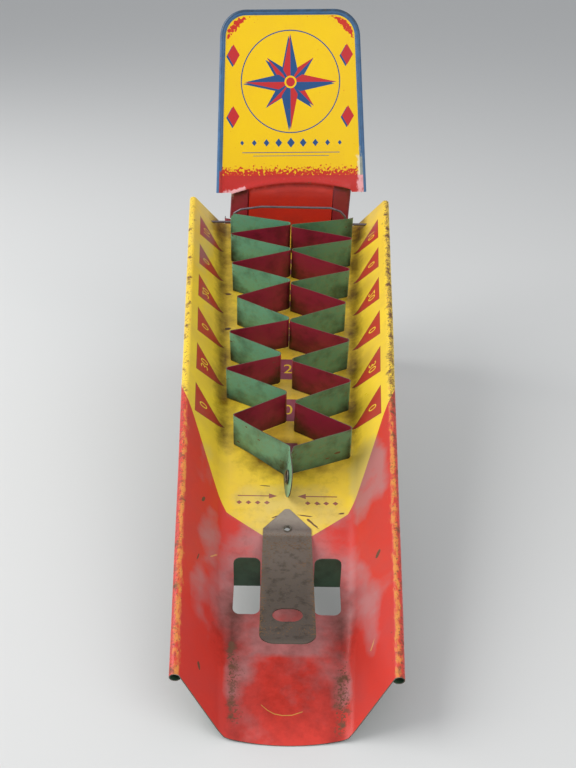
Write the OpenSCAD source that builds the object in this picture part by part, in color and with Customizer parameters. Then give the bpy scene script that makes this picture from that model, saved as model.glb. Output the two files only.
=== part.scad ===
// Tabletop marble game pressed from printed sheet metal, at its real size in millimetres.
// A tapered chute slopes down to a front lip. Two zigzag divider strips make the scoring
// pockets and lift together on a wire at the rear, and a leaf spring flicks the marbles.
// +Y points from the lip to the rear, +Z up, and the origin is under the middle of the toy.

/* [Chute] */
// Length of the chute floor, measured along its slope
chute_len = 424.6; // [350:1:510]
// Slope of the chute floor above the table, in degrees
chute_slope = 15.3; // [12:0.1:19]
// Width of the flat floor at the front lip
lip_w = 46; // [39:1:56]
// Width of the flat floor at the rear end
rear_w = 92.8; // [84:1:112]
// Thickness of the chute sheet
chute_sheet = 0.5; // [0.3:0.1:0.8]
// Inner radius of the bend from floor to side wall
wall_bend_r = 9; // [7:0.5:11]
// Angle of the side walls above the floor, in degrees
wall_angle = 49.5; // [42:0.5:60]
// Width of the straight part of a side wall, up its slant
wall_slant = 24.3; // [16:0.1:30]
// Outer diameter of the rolled hem on the wall tops
hem_d = 5.3; // [4:0.1:7]
// Angle that a rolled hem curls through, in degrees
hem_turn = 290; // [200:5:300]

/* [Front lip] */
// Half the width of the lip between its corners
lip_half_w = 26.9; // [22:0.1:30]
// How far the lip bows forward in the middle
lip_bow = 3.4; // [0.5:0.1:6]
// Distance from the lip to the front end of the hems
hem_start = 20; // [8:1:30]

/* [Return stops] */
// Distance from the lip to the hinge edge of the windows
stop_v = 86.6; // [72:0.2:100]
// Length of a window and of the tongue bent up from it
stop_len = 18; // [12:0.5:21]
// Width of a window
stop_w = 13.2; // [9:0.1:13.5]
// Angle that the tongues lean back from square, in degrees
stop_lean = 8; // [0:1:20]
// Corner radius of the windows and tongues
stop_corner_r = 3.5; // [1:0.5:5]

/* [Divider strips] */
// Number of scoring rows
row_count = 6; // [4:1:7]
// Distance from the lip to the point where the strips part
apex_v = 165; // [152:1:180]
// Height of the strips
strip_h = 22; // [16:0.5:27]
// Thickness of a strip
strip_t = 0.4; // [0.3:0.1:0.7]
// Radius of the folds in a strip, at its middle
fold_r = 1.8; // [1:0.1:3]
// How far the outer folds reach past the flat floor before rounding
fold_reach = 1.2; // [0:0.1:1.5]
// Half of the gap between the two strips at the first inner fold
first_gap = 2.6; // [1:0.1:4]
// Half of the gap between the two strips at the last inner fold
last_gap = 0.8; // [0.5:0.1:2]
// Length of the last side pocket, along the floor
end_pocket_len = 26; // [20:1:30]
// Distance from the last full outer fold to the last inner fold
end_fold_len = 14; // [10:1:18]
// Length of the lift tab in front of the point where the strips part
tab_len = 26; // [22:1:30]

/* [Hinge wire] */
// Wire diameter
wire_d = 1.5; // [1:0.1:2.2]
// Distance from the hinge line to the rear end of the floor
hinge_setback = 10.6; // [9:0.2:14]
// Height of the hinge line above the floor
hinge_w = 8; // [6:0.1:9]
// Radius of the strip lugs round the wire
lug_r = 4.9; // [3:0.1:5]
// Distance of the lugs inside the edge of the flat floor
lug_in = 1.2; // [0:0.1:3]
// Height of the raised bridge in the middle of the wire, above the floor
bridge_w = 20; // [16:0.5:22]

/* [Leaf spring] */
// Width of the spring
spring_w = 25.4; // [20:0.1:26]
// Thickness of the spring
spring_t = 0.5; // [0.4:0.1:0.8]
// Distance from the lip to the spring's bend line
spring_bend_v = 118.3; // [112:0.1:126]
// Angle of the free arm above the floor, in degrees
spring_rise = 18.6; // [14:0.1:23]
// Length of the arm, from the bend line to its front end
arm_len = 91.5; // [82:0.5:104]
// Radius of the arm's front corners
arm_corner_r = 7; // [4:0.5:10]
// Distance from the bend line to the middle of the marble seat
seat_dist = 70.5; // [55:0.5:72]
// Width of the marble seat hole, across the arm
seat_w = 14; // [12:0.1:17]
// Length of the marble seat hole, along the arm
seat_len = 10.4; // [8:0.1:11.5]
// Distance from the bend line to the shoulders of the pointed end
shoulder_len = 4.5; // [4:0.1:6]
// Distance from the shoulders to the point
point_len = 14; // [10:0.5:18]

/* [Hollow rivets] */
// Bore of the rivet that holds the spring
spring_rivet_bore = 3.1; // [2.5:0.1:4.4]
// Bore of the rivet in the lift tab
tab_rivet_bore = 6.6; // [4:0.1:7]
// Width of a rivet's rolled rim
rivet_rim = 0.9; // [0.9:0.1:2]
// Wall of a rivet's barrel
rivet_wall = 0.45; // [0.3:0.05:0.6]

/* [Sign and rear leg] */
// Thickness of the stand sheet
stand_sheet = 0.5; // [0.3:0.1:0.9]
// Half the width of the stand's middle panel, between its creases
crease_half_w = 31.5; // [27:0.5:38]
// Half the width of the neck
neck_half_w = 44.6; // [40:0.2:50]
// Half the width of the leg under the chute
leg_half_w = 48.5; // [46:0.5:58]
// Angle of the side panels behind the middle panel, in degrees
crease_angle = 20; // [5:1:30]
// Depth of the flanges on the stand's edges
flange_d = 6; // [3:0.5:10]
// Depth of the foot flange
foot_d = 10; // [6:0.5:16]
// Height of the neck from the chute floor to the fold under the sign
neck_h = 24.8; // [20:0.1:40]
// Height of the leg's shoulders above the end of the chute floor
leg_rise = 2.3; // [1:0.1:6]
// Height of the sign above the fold
sign_h = 129.3; // [95:0.1:150]
// Half the width of the sign at the fold
sign_half_w = 57; // [50:0.5:67]
// How far each side of the sign leans in, in degrees
sign_taper = 2.8; // [0:0.1:6]
// Angle that the sign leans back, in degrees
sign_lean = 13; // [0:0.5:25]
// Corner radius of the sign
sign_corner_r = 19; // [10:0.5:25]
// Outer diameter of the sign's rolled hem
sign_hem_d = 4.2; // [3:0.1:5]
// Width of the chute's tabs that are bent down behind the stand
tab_w = 9; // [6:0.5:12]
// Half the distance between the middles of the two tabs
tab_half_gap = 20; // [14:0.5:25]

/* [Clearances] */
// Gap between pieces that touch or pass through each other
fit_gap = 0.2; // [0.1:0.05:0.25]
// Gap between the spring and the windows beside it
stop_gap = 0.5; // [0.4:0.1:0.8]
// Gap between a moving strip and the floor
floor_gap = 0.4; // [0.3:0.1:0.6]

/* [Hidden] */
$fn = 64;

litho_red = [0.78, 0.20, 0.16];
litho_yellow = [0.95, 0.80, 0.18];
litho_green = [0.36, 0.56, 0.40];
bare_steel = [0.42, 0.40, 0.37];
eyelet_steel = [0.62, 0.62, 0.58];

// Small bend radius of tabs, tongues and flanges, inside the bend
tight_bend_r = 0.8;
// Radius of the stand's creases at the middle of the sheet
crease_r = 1.6;
// Steps in a rounded fold
fold_steps = 6;
// Length of the parts of the wire outside the walls
wire_end = 2.5;
// Length of the hook at each end of the wire
wire_hook = 5;
// Length of a tab behind the stand
tab_drop = 7;
// Half gap between the two strips in the lift tab
tab_half_slit = 0.05;
// Length of floor drawn with the bend of a tongue or a tab
root_len = 1;
// Width of floor drawn with the section of a side wall
floor_lap = 2;
// Width of the flat sheet drawn with a hem's section
hem_lip = 1;
// Distance from the last fold of a strip to the hinge wire
lug_len = 14;
// Length over which the edges of a strip narrow to its lug
lug_neck_len = 6;
// Half the width of the spring's point
point_half_w = 1.5;
// Half gap between the two parts of the spring at its bend line
spring_gap = 0.1;
// Distance of the foot's ends inside the creases
foot_inset = 2;
// Angle by which a bend overlaps the straight runs, in degrees
bend_lap = 3;
// Angle by which a corner of a hem overlaps the straight runs, in degrees
corner_lap = 0.5;
// How much thicker bends and corners are, so that they close round the straight runs
bend_proud = 0.03;
// Play round a rivet's barrel
rivet_play = 0.1;
// Radius of the bends in the wire, at its middle
wire_bend_r = 2;
// Distance of the wire's knees inside the lugs
knee_in = 7.5;
// Distance of the wire's bearings' inner ends inside the lugs
bearing_in = 1.5;
// Half the length of the wire's raised bridge
bridge_half_w = 26;
// Reach of cutting shapes past what they cut
over = 40;

// Places along the floor follow from the lip, the rear end and the number of rows.
taper = atan((rear_w - lip_w) / 2 / chute_len);
hinge_v = chute_len - hinge_setback;
last_v = hinge_v - lug_len;
last_row_v = last_v - end_pocket_len;
row_pitch = (last_row_v - apex_v) / (row_count - 0.5);
strip_top = floor_gap + strip_h;
lug_u = floor_half(last_v) - lug_in;
rivet_v = spring_bend_v + shoulder_len;
tab_v = apex_v - tab_len;
foot_half_w = crease_half_w - foot_inset;
stop_u = spring_w / 2 + stop_gap;

// The stand's front face touches the rear end of the chute floor.
chute_lift = chute_sheet * cos(chute_slope);
stand_y = chute_len * cos(chute_slope) + chute_sheet * sin(chute_slope) + fit_gap / 2;
floor_end_z = chute_len * sin(chute_slope) + chute_lift;
leg_top_z = floor_end_z + leg_rise;
fold_z = floor_end_z + neck_h;
sign_top_depth = (sign_h - sign_hem_d / 2) * sin(sign_lean) + sign_hem_d / 2 * (1 + cos(sign_lean));
rear_y = stand_y + max(sign_top_depth, foot_d + stand_sheet);
middle_y = rear_y / 2;

function floor_half(v) = lip_w / 2 + (rear_w - lip_w) / 2 * v / chute_len;
function unit(a) = a / norm(a);
function turn(a) = [-a.y, a.x];
function polar(r, a) = r * [cos(a), sin(a)];
function mirrored(points) = [for (i = [len(points) - 1 : -1 : 0]) [-points[i].x, points[i].y]];

// Half the width across the outside of the walls at the hinge wire, at height w on their slant
function wall_u(w) =
    floor_half(hinge_v) + (
        wall_bend_r * sin(wall_angle) + (w - wall_bend_r * (1 - cos(wall_angle))) / tan(wall_angle)
        + chute_sheet / sin(wall_angle)
    ) / cos(taper);

// Distance from the corner at b to where a bend of radius r starts
function bend_reach(a, b, c, r) = r / tan(acos(unit(a - b) * unit(c - b)) / 2);

// The arc that rounds the corner at b between a and c
function corner_arc(a, b, c, r) =
    let (
        p = unit(a - b),
        q = unit(c - b),
        half = acos(p * q) / 2,
        middle = b + unit(p + q) * r / sin(half),
        first = b + p * r / tan(half) - middle,
        last = b + q * r / tan(half) - middle,
        from = atan2(first.y, first.x),
        sweep = (atan2(last.y, last.x) - from + 540) % 360 - 180
    )
    [for (i = [0 : fold_steps]) middle + polar(r, from + sweep * i / fold_steps)];

// A path whose inner points are rounded with radius r
function rounded_path(points, r) = [
    points[0],
    each [
        for (i = [1 : len(points) - 2])
            each corner_arc(points[i - 1], points[i], points[i + 1], r)
    ],
    points[len(points) - 1]
];

// The point beside point i of a path, at distance d to its left
function beside(path, i, d) =
    let (
        last = len(path) - 1,
        back = unit(path[max(i, 1)] - path[max(i, 1) - 1]),
        ahead = unit(path[min(i, last - 1) + 1] - path[min(i, last - 1)]),
        normal = unit(turn(back) + turn(ahead))
    )
    path[i] + normal * d / (normal * turn(back));

// The outline of a sheet of thickness t whose middle follows a path
function sheet_outline(path, t) = concat(
    [for (i = [0 : len(path) - 1]) beside(path, i, t / 2)],
    [for (i = [len(path) - 1 : -1 : 0]) beside(path, i, -t / 2)]
);

// A pie slice of radius r from one angle to another
module slice(r, from, to) {
    steps = ceil(abs(to - from) / 30);
    polygon([[0, 0], for (i = [0 : steps]) polar(r, from + (to - from) * i / steps)]);
}

// Part of a ring between two angles
module ring_part(r_in, r_out, from, to) {
    intersection() {
        difference() {
            circle(r_out);
            circle(r_in);
        }
        slice(r_out * 2, from, to);
    }
}

// A round wire along a path in X and Y, with bends of radius r
module bent_wire(path, d, r) {
    last = len(path) - 1;
    for (i = [0 : last - 1]) {
        a = path[i];
        b = path[i + 1];
        from = i > 0 ? bend_reach(path[i - 1], a, b, r) : 0;
        to = norm(b - a) - (i + 1 < last ? bend_reach(a, b, path[i + 2], r) : 0);
        translate(a) rotate([0, 0, atan2(b.y - a.y, b.x - a.x)]) rotate([0, 90, 0])
            translate([0, 0, from]) cylinder(h = to - from, d = d);
    }
    for (i = [1 : last - 1]) {
        p = unit(path[i - 1] - path[i]);
        q = unit(path[i + 1] - path[i]);
        half = acos(p * q) / 2;
        inward = unit(p + q);
        translate(path[i] + inward * r / sin(half))
            rotate([0, 0, atan2(-inward.y, -inward.x) - (90 - half) - bend_lap])
                rotate_extrude(angle = 180 - 2 * half + 2 * bend_lap)
                    translate([r, 0]) circle(d = d + 2 * bend_proud);
    }
}

// Extrude a drawing of width and height along +Y
module along_y(length) {
    rotate([90, 0, 0]) translate([0, 0, -length]) linear_extrude(length) children();
}

// Extrude a side view, drawn as Y and Z, across X
module across_x(from, to) {
    translate([from, 0, 0]) rotate([90, 0, 90]) linear_extrude(to - from) children();
}

// Tilt from the chute's own frame, with its floor flat, to the slope on the table
module on_slope() {
    translate([0, -middle_y, chute_lift]) rotate([chute_slope, 0, 0]) children();
}

module both_sides() {
    children();
    mirror([1, 0, 0]) children();
}

// A rectangle whose far two corners, or near two, are rounded
module tongue_shape(width, length, r) {
    square([width, length - r]);
    translate([r, 0]) square([width - 2 * r, length]);
    translate([r, length - r]) circle(r);
    translate([width - r, length - r]) circle(r);
}

// Cross-section of a side wall: bend, slanted wall and rolled hem
module wall_section() {
    bend_end = wall_bend_r * [sin(wall_angle), 1 - cos(wall_angle)];
    slant = [cos(wall_angle), sin(wall_angle)];
    hem_middle = bend_end + wall_slant * slant - hem_d / 2 * turn(slant);
    translate([-floor_lap, -chute_sheet]) square([floor_lap, chute_sheet]);
    translate([0, wall_bend_r])
        ring_part(
            wall_bend_r - bend_proud, wall_bend_r + chute_sheet + bend_proud,
            -90, wall_angle - 90 + bend_lap
        );
    translate(bend_end) rotate(wall_angle) translate([0, -chute_sheet]) square([wall_slant, chute_sheet]);
    translate(hem_middle)
        ring_part(
            hem_d / 2 - chute_sheet - bend_proud, hem_d / 2 + bend_proud,
            wall_angle + 90 - hem_turn, wall_angle + 90 + bend_lap
        );
}

// Plan of the chute: bowed lip, cut corners and square rear end
module chute_plan() {
    bow_r = (lip_half_w ^ 2 + lip_bow ^ 2) / (2 * lip_bow);
    bow_half = asin(lip_half_w / bow_r);
    bow_steps = 5;
    chamfer_u = floor_half(hem_start) + wall_bend_r * sin(wall_angle) + wall_slant * cos(wall_angle);
    right = concat(
        [for (i = [0 : bow_steps]) [0, bow_r] + polar(bow_r, bow_half * i / bow_steps - 90)],
        [[chamfer_u, hem_start], [chamfer_u + over, hem_start], [chamfer_u + over, chute_len]]
    );
    polygon(concat(right, mirrored(right)));
}

// A tongue lanced from the floor and bent up at the rear edge of its window
module return_stop() {
    outline_h = stop_len + tight_bend_r;
    intersection() {
        across_x(0, stop_w) translate([stop_v, tight_bend_r]) {
            ring_part(tight_bend_r, tight_bend_r + chute_sheet, 180 - stop_lean, 270);
            translate([0, -tight_bend_r - chute_sheet]) square([root_len, chute_sheet]);
            rotate(-stop_lean) translate([-tight_bend_r - chute_sheet, 0]) square([chute_sheet, stop_len]);
        }
        translate([0, stop_v - over, -chute_sheet]) along_y(2 * over)
            tongue_shape(stop_w, outline_h, stop_corner_r);
    }
}

// A tab that runs through the stand and is bent straight down behind it
module rear_tab() {
    back_y = stand_y + stand_sheet + fit_gap;
    bend_v = (back_y - tight_bend_r - (chute_sheet + tight_bend_r) * sin(chute_slope)) / cos(chute_slope);
    translate([0, chute_len - root_len, -chute_sheet])
        cube([tab_w, bend_v - chute_len + root_len, chute_sheet]);
    across_x(0, tab_w) translate([bend_v, -chute_sheet - tight_bend_r]) {
        ring_part(tight_bend_r, tight_bend_r + chute_sheet, -chute_slope, 90);
        rotate(-chute_slope) translate([tight_bend_r, -tab_drop]) square([chute_sheet, tab_drop]);
    }
}

module chute() {
    floor_side = [for (v = [-over, chute_len + over]) [floor_half(v) - floor_lap / 2, v]];
    color(litho_red) on_slope() union() {
        difference() {
            union() {
                intersection() {
                    union() {
                        translate([0, 0, -chute_sheet]) linear_extrude(chute_sheet)
                            polygon(concat(floor_side, mirrored(floor_side)));
                        both_sides()
                            translate([floor_half(0), 0, 0]) rotate([0, 0, -taper])
                                translate([0, -over, 0]) along_y(chute_len + 2 * over) wall_section();
                    }
                    translate([0, 0, -over]) linear_extrude(3 * over) chute_plan();
                }
                both_sides() translate([tab_half_gap - tab_w / 2, 0, 0]) rear_tab();
            }
            both_sides() translate([stop_u, stop_v, -over]) linear_extrude(2 * over)
                mirror([0, 1]) tongue_shape(stop_w, stop_len, stop_corner_r);
            translate([0, rivet_v, -over])
                cylinder(h = 2 * over, d = spring_rivet_bore + 2 * rivet_wall + fit_gap);
            translate([0, hinge_v, hinge_w]) rotate([0, 90, 0])
                cylinder(h = 4 * over, d = wire_d + 2 * fit_gap, center = true);
        }
        both_sides() translate([stop_u, 0, 0]) return_stop();
    }
}

// Cross-section of the stand as seen from above, out to a half width
module stand_section(half_w) {
    side_y = (half_w - crease_half_w) * tan(crease_angle);
    middle = rounded_path([
        [-half_w, side_y + flange_d], [-half_w, side_y], [-crease_half_w, 0],
        [crease_half_w, 0], [half_w, side_y], [half_w, side_y + flange_d]
    ], crease_r);
    translate([0, stand_sheet / 2]) polygon(sheet_outline(middle, stand_sheet));
}

// The foot under the stand, bent to the rear
module stand_foot() {
    bend = stand_sheet + tight_bend_r;
    across_x(-foot_half_w, foot_half_w) {
        translate([bend, bend]) ring_part(tight_bend_r, bend, 180, 270);
        translate([bend, 0]) square([foot_d - bend, stand_sheet]);
        translate([0, bend]) square([stand_sheet, 1]);
    }
}

// Cross-section of the sign's hem, its front flush with the sign's face
module sign_hem_section(proud = 0, lap = 0) {
    hem_r = sign_hem_d / 2;
    translate([-hem_r, -hem_r])
        ring_part(hem_r - stand_sheet - proud, hem_r + proud, 90 - hem_turn - lap, 90);
    translate([-hem_r - hem_lip, -stand_sheet - proud]) square([hem_lip, stand_sheet + 2 * proud]);
}

// The sign, lying flat in X and Y with its printed face at zero height
module sign() {
    hem_r = sign_hem_d / 2;
    side = [cos(sign_taper), sin(sign_taper)];
    corner_y = sign_h - sign_corner_r;
    corner_x = sign_half_w - corner_y * tan(sign_taper) - sign_corner_r / side.x;
    side_len = (corner_y + sign_corner_r * side.y) / side.x;
    inset = hem_r + hem_lip / 2;
    inner_r = sign_corner_r - inset;
    right = [
        [sign_half_w - inset / side.x, 0],
        [corner_x, corner_y] + inner_r * side,
        [corner_x, corner_y + inner_r]
    ];
    translate([0, 0, -stand_sheet]) linear_extrude(stand_sheet) {
        polygon(concat(right, mirrored(right)));
        translate([corner_x, corner_y]) circle(inner_r);
        translate([-corner_x, corner_y]) circle(inner_r);
    }
    both_sides() {
        translate([sign_half_w, 0, 0]) rotate([0, 0, sign_taper]) along_y(side_len) sign_hem_section();
        translate([corner_x, corner_y, 0]) rotate([0, 0, sign_taper - corner_lap])
            rotate_extrude(angle = 90 - sign_taper + 2 * corner_lap)
                translate([sign_corner_r, 0]) sign_hem_section(bend_proud, corner_lap);
    }
    translate([corner_x, sign_h, 0]) rotate([0, 0, 90]) along_y(2 * corner_x) sign_hem_section();
}

// Sign, neck and rear leg, pressed from one sheet
module back_stand() {
    slot_low = (stand_y - chute_sheet * sin(chute_slope)) * tan(chute_slope) - tight_bend_r;
    slot_high = (stand_y + stand_sheet) * tan(chute_slope) + chute_lift + fit_gap;
    color(litho_yellow) translate([0, stand_y - middle_y, 0]) {
        difference() {
            union() {
                linear_extrude(leg_top_z) stand_section(leg_half_w);
                linear_extrude(fold_z) stand_section(neck_half_w);
            }
            both_sides() translate([tab_half_gap - tab_w / 2 - fit_gap, -1, slot_low])
                cube([tab_w + 2 * fit_gap, stand_sheet + 2, slot_high - slot_low]);
            translate([-foot_half_w, -1, -1])
                cube([2 * foot_half_w, stand_sheet + 2, stand_sheet + tight_bend_r + 1]);
        }
        stand_foot();
        translate([0, 0, fold_z]) rotate([90 - sign_lean, 0, 0]) sign();
    }
}

// The hinge wire: hooked ends, straight bearings in the lugs and a raised bridge
module hinge_wire() {
    end_u = wall_u(hinge_w) + wire_end;
    half = [
        [bridge_half_w, bridge_w], [lug_u - knee_in, (bridge_w + hinge_w) / 2],
        [lug_u - bearing_in, hinge_w], [end_u, hinge_w], [end_u, hinge_w - wire_hook]
    ];
    color(bare_steel) on_slope() translate([0, hinge_v, 0]) rotate([90, 0, 0])
        bent_wire(concat(mirrored(half), half), wire_d, wire_bend_r);
}

// Side view of a strip: round lift tab, full height, and the lug round the wire
module strip_side() {
    r = strip_h / 2;
    translate([tab_v + r, floor_gap]) square([last_v - tab_v - r, strip_h]);
    translate([tab_v + r, floor_gap + r]) circle(r);
    polygon([
        [last_v - 1, floor_gap], [last_v, floor_gap], [last_v + lug_neck_len, hinge_w - lug_r],
        [hinge_v, hinge_w - lug_r], [hinge_v, hinge_w + lug_r],
        [last_v + lug_neck_len, hinge_w + lug_r], [last_v, strip_top], [last_v - 1, strip_top]
    ]);
    translate([hinge_v, hinge_w]) circle(lug_r);
}

// How far rounding draws a fold in, between panels that run so far along and so far across
function fold_pull(along, across) = fold_r * (1 / sin(atan(along / across)) - 1);

// Plan of the right strip's middle: tab, zigzag between side and centre pockets, and lug
function strip_path() =
    let (
        tab_u = tab_half_slit + strip_t / 2
    )
    concat(
        [[tab_u, tab_v], [tab_u, apex_v]],
        [
            for (i = [1 : row_count])
                let (
                    out_v = apex_v + row_pitch * (i - 0.5),
                    gap = first_gap + (last_gap - first_gap) * (i - 1) / (row_count - 1),
                    run = i < row_count ? row_pitch / 2 : end_fold_len,
                    out_u = floor_half(out_v) + fold_reach
                )
                each [[out_u, out_v], [gap - fold_pull(run, out_u), out_v + run]]
        ],
        [[lug_u, last_v], [lug_u, hinge_v + lug_r + 1]]
    );

module divider() {
    outline = sheet_outline(rounded_path(strip_path(), fold_r), strip_t);
    color(litho_green) on_slope() difference() {
        intersection() {
            linear_extrude(strip_top + 1) polygon(outline);
            across_x(-over, 3 * over) strip_side();
        }
        translate([0, hinge_v, hinge_w]) rotate([0, 90, 0])
            cylinder(h = 4 * over, d = wire_d + 2 * fit_gap, center = true);
        translate([0, tab_v + strip_h / 2, floor_gap + strip_h / 2]) rotate([0, 90, 0])
            cylinder(h = over, d = tab_rivet_bore + 2 * rivet_wall + rivet_play, center = true);
    }
}

module right_divider() {
    divider();
}

module left_divider() {
    mirror([1, 0, 0]) divider();
}

// A hollow rivet along Z, gripping sheets of a total thickness
module hollow_rivet(bore, grip) {
    difference() {
        cylinder(h = grip, d = bore + 2 * rivet_wall, center = true);
        cylinder(h = grip + 2, d = bore, center = true);
    }
    for (end = [0, 1])
        mirror([0, 0, end]) translate([0, 0, grip / 2])
            rotate_extrude() translate([(bore + rivet_rim) / 2, 0]) ring_part(0, rivet_rim / 2, 0, 180);
}

module lift_tab_eyelet() {
    color(eyelet_steel) on_slope()
        translate([0, tab_v + strip_h / 2, floor_gap + strip_h / 2]) rotate([0, 90, 0])
            hollow_rivet(tab_rivet_bore, 2 * (strip_t + tab_half_slit));
}

module spring_eyelet() {
    color(eyelet_steel) on_slope()
        translate([0, rivet_v, (spring_t - chute_sheet) / 2])
            hollow_rivet(spring_rivet_bore, spring_t + chute_sheet);
}

// The spring's pointed end, riveted flat on the floor
module spring_root() {
    point_v = rivet_v + point_len;
    half_w = spring_w / 2;
    color(bare_steel) on_slope() linear_extrude(spring_t) difference() {
        polygon([
            [-half_w, spring_bend_v + spring_gap], [half_w, spring_bend_v + spring_gap], [half_w, rivet_v],
            [point_half_w, point_v], [-point_half_w, point_v], [-half_w, rivet_v]
        ]);
        translate([0, rivet_v]) circle(d = spring_rivet_bore + 2 * rivet_wall + rivet_play);
    }
}

// The oval hole in which a marble sits
module marble_seat() {
    straight = seat_w - seat_len;
    square([straight, seat_len], center = true);
    translate([straight / 2, 0]) circle(d = seat_len);
    translate([-straight / 2, 0]) circle(d = seat_len);
}

// The spring's free arm, with round front corners and the hole that seats a marble
module spring_arm() {
    color(bare_steel) on_slope() translate([0, spring_bend_v, spring_t / 2]) rotate([-spring_rise, 0, 0])
        translate([0, 0, -spring_t / 2]) linear_extrude(spring_t) mirror([0, 1]) difference() {
            translate([-spring_w / 2, spring_gap])
                tongue_shape(spring_w, arm_len - spring_gap, arm_corner_r);
            translate([0, seat_dist]) marble_seat();
        }
}

chute();
back_stand();
hinge_wire();
left_divider();
right_divider();
lift_tab_eyelet();
spring_root();
spring_arm();
spring_eyelet();
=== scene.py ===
"""Looks of a tabletop marble game pressed from printed tin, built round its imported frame.

The sheets are drawn flat, in millimetres, as the tinsmith cut and printed them, and then bent.
"""
from math import acos, asin, atan, atan2, copysign, cos, exp, hypot, pi, radians, sin, sqrt, tan

import bpy
from mathutils import Matrix, Vector, geometry


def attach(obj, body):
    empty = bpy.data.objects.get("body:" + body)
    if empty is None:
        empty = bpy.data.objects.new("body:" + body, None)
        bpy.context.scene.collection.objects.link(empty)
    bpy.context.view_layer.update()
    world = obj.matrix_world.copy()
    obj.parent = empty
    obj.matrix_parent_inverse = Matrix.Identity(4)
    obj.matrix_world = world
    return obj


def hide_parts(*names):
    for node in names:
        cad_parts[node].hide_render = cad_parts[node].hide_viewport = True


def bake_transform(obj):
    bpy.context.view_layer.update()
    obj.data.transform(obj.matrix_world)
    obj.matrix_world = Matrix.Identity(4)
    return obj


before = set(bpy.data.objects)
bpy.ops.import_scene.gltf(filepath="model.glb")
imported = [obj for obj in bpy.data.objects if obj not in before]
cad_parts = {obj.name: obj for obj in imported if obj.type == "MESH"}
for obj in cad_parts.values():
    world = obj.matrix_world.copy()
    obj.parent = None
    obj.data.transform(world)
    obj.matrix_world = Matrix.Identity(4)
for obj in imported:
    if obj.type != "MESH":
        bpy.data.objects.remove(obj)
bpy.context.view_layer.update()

MM = 0.001

# Sizes of the metal in mm, as in the CAD source. On the chute, U is across, V is up its floor
# from the lip, and W is above the floor.
SLOPE = radians(15.3)
MIDDLE_Y, LIFT = 221.271, 0.482
FLOOR_LEN, LIP_HALF, REAR_HALF = 424.6, 23.0, 46.4
TAPER = atan((REAR_HALF - LIP_HALF) / FLOOR_LEN)
SHEET, TIGHT_R = 0.5, 0.8
BEND_R, WALL_ANGLE, WALL_SLANT = 9.0, radians(49.5), 24.3
HEM_R, HEM_TURN, HEM_START = 2.65, radians(290), 20.0
LIP_CORNER = Vector((26.9, 3.4))
STOP_U, STOP_V, STOP_W, STOP_LEN, STOP_R = 13.2, 86.6, 13.2, 18.0, 3.5
STOP_TURN = radians(98)
REAR_TAB_U, REAR_TAB_HALF, FOOT_LEN, PLAY = 20, 4.5, 10.7, 0.2
STRIP_T, STRIP_LOW, STRIP_TOP, STRIP_FOLD_R = 0.4, 0.4, 22.4, 1.8
HINGE_V, HINGE_W = 414.0, 8.0
LUG_R, LUG_HOLE_R, LUG_NECK_V = 4.9, 1.05, 400
TAB_V, TAB_R, TAB_HOLE_R = 139.0, 11.0, 3.8
STAND_FROM_LIP = 409.783
STAND_Y = STAND_FROM_LIP - MIDDLE_Y
FOLD_Z, LEG_TOP, LEG_SLIT = 137.323, 114.823, 0.7
CREASE_HALF, NECK_HALF, LEG_HALF, STAND_FOLD_R = 31.5, 44.6, 48.5, 1.6
CREASE_ANGLE = radians(20)
SIGN_H, SIGN_HALF, SIGN_R, SIGN_HEM_R = 129.3, 56.0, 19.0, 2.1
SIGN_TAPER, SIGN_LEAN = radians(2.8), radians(13)
SPRING_V, SPRING_HALF, SPRING_T = 118.3, 12.7, 0.5
SPRING_LEN, SPRING_CORNER_R, SPRING_BEND_HALF = 91.5, 7.0, 1.0
SPRING_RISE = radians(18.6)
SEAT_Y, SEAT_HALF, SEAT_R = -70.5, 7.0, 5.2
RIVET_Y, RIVET_HOLE_R, SPRING_HOLE_R = 4.5, 2.1, 2.05
SPRING_BORE, TAB_BORE, RIM, BARREL = 3.1, 6.6, 0.9, 0.45
WIRE_R, WIRE_BEND_R, WIRE_END = 0.85, 1.6, 59.97

# How the old toy strays from the even CAD part, in mm and radians: the sign stands askew, and
# the lift tab hangs to one side and leans.
SIGN_TILT, SIGN_SHIFT = radians(1.6), 1.3
TAB_SWING, TAB_LEAN, APEX_V = 1.2, 0.14, 162.3

# Lengths of sheet out from the floor's edge: to the end of the bend, the slant and the hem, and
# to the hem's crest.
BEND_ARC = BEND_R * WALL_ANGLE
SLANT_END = BEND_ARC + WALL_SLANT
HEM_ARC = HEM_R * HEM_TURN
HEM_END = SLANT_END + HEM_ARC
CREST = SLANT_END + HEM_R * WALL_ANGLE

# A back is patterned as if it lay this far from its face, so that the two are not worn alike.
BACK_SHIFT = 50.0


def smooth(a, b, x):
    """0 before a, 1 after b, and an even ramp between."""
    t = min(1.0, max(0.0, (x - a) / (b - a)))
    return t * t * (3 - 2 * t)


def bell(x, middle, width):
    """1 at the middle, fading to nothing within about two widths."""
    return exp(-(((x - middle) / width) ** 2))


def oval(x, y, middle_x, middle_y, half_x, half_y):
    """1 in the middle of an oval, 0.5 at its edge and nothing well outside."""
    return smooth(1.35, 0.65, hypot((x - middle_x) / half_x, (y - middle_y) / half_y))


def on_slope(u, v, w):
    """A point of the chute, across, up its floor and above it, in the frame's axes."""
    return Vector((
        u,
        v * cos(SLOPE) - w * sin(SLOPE) - MIDDLE_Y,
        v * sin(SLOPE) + w * cos(SLOPE) + LIFT,
    ))


def arc(x, y, radius, start, end, steps):
    """Points round a centre, from one angle to another."""
    angles = (start + (end - start) * i / steps for i in range(steps + 1))
    return [(x + radius * cos(a), y + radius * sin(a)) for a in angles]


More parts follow.
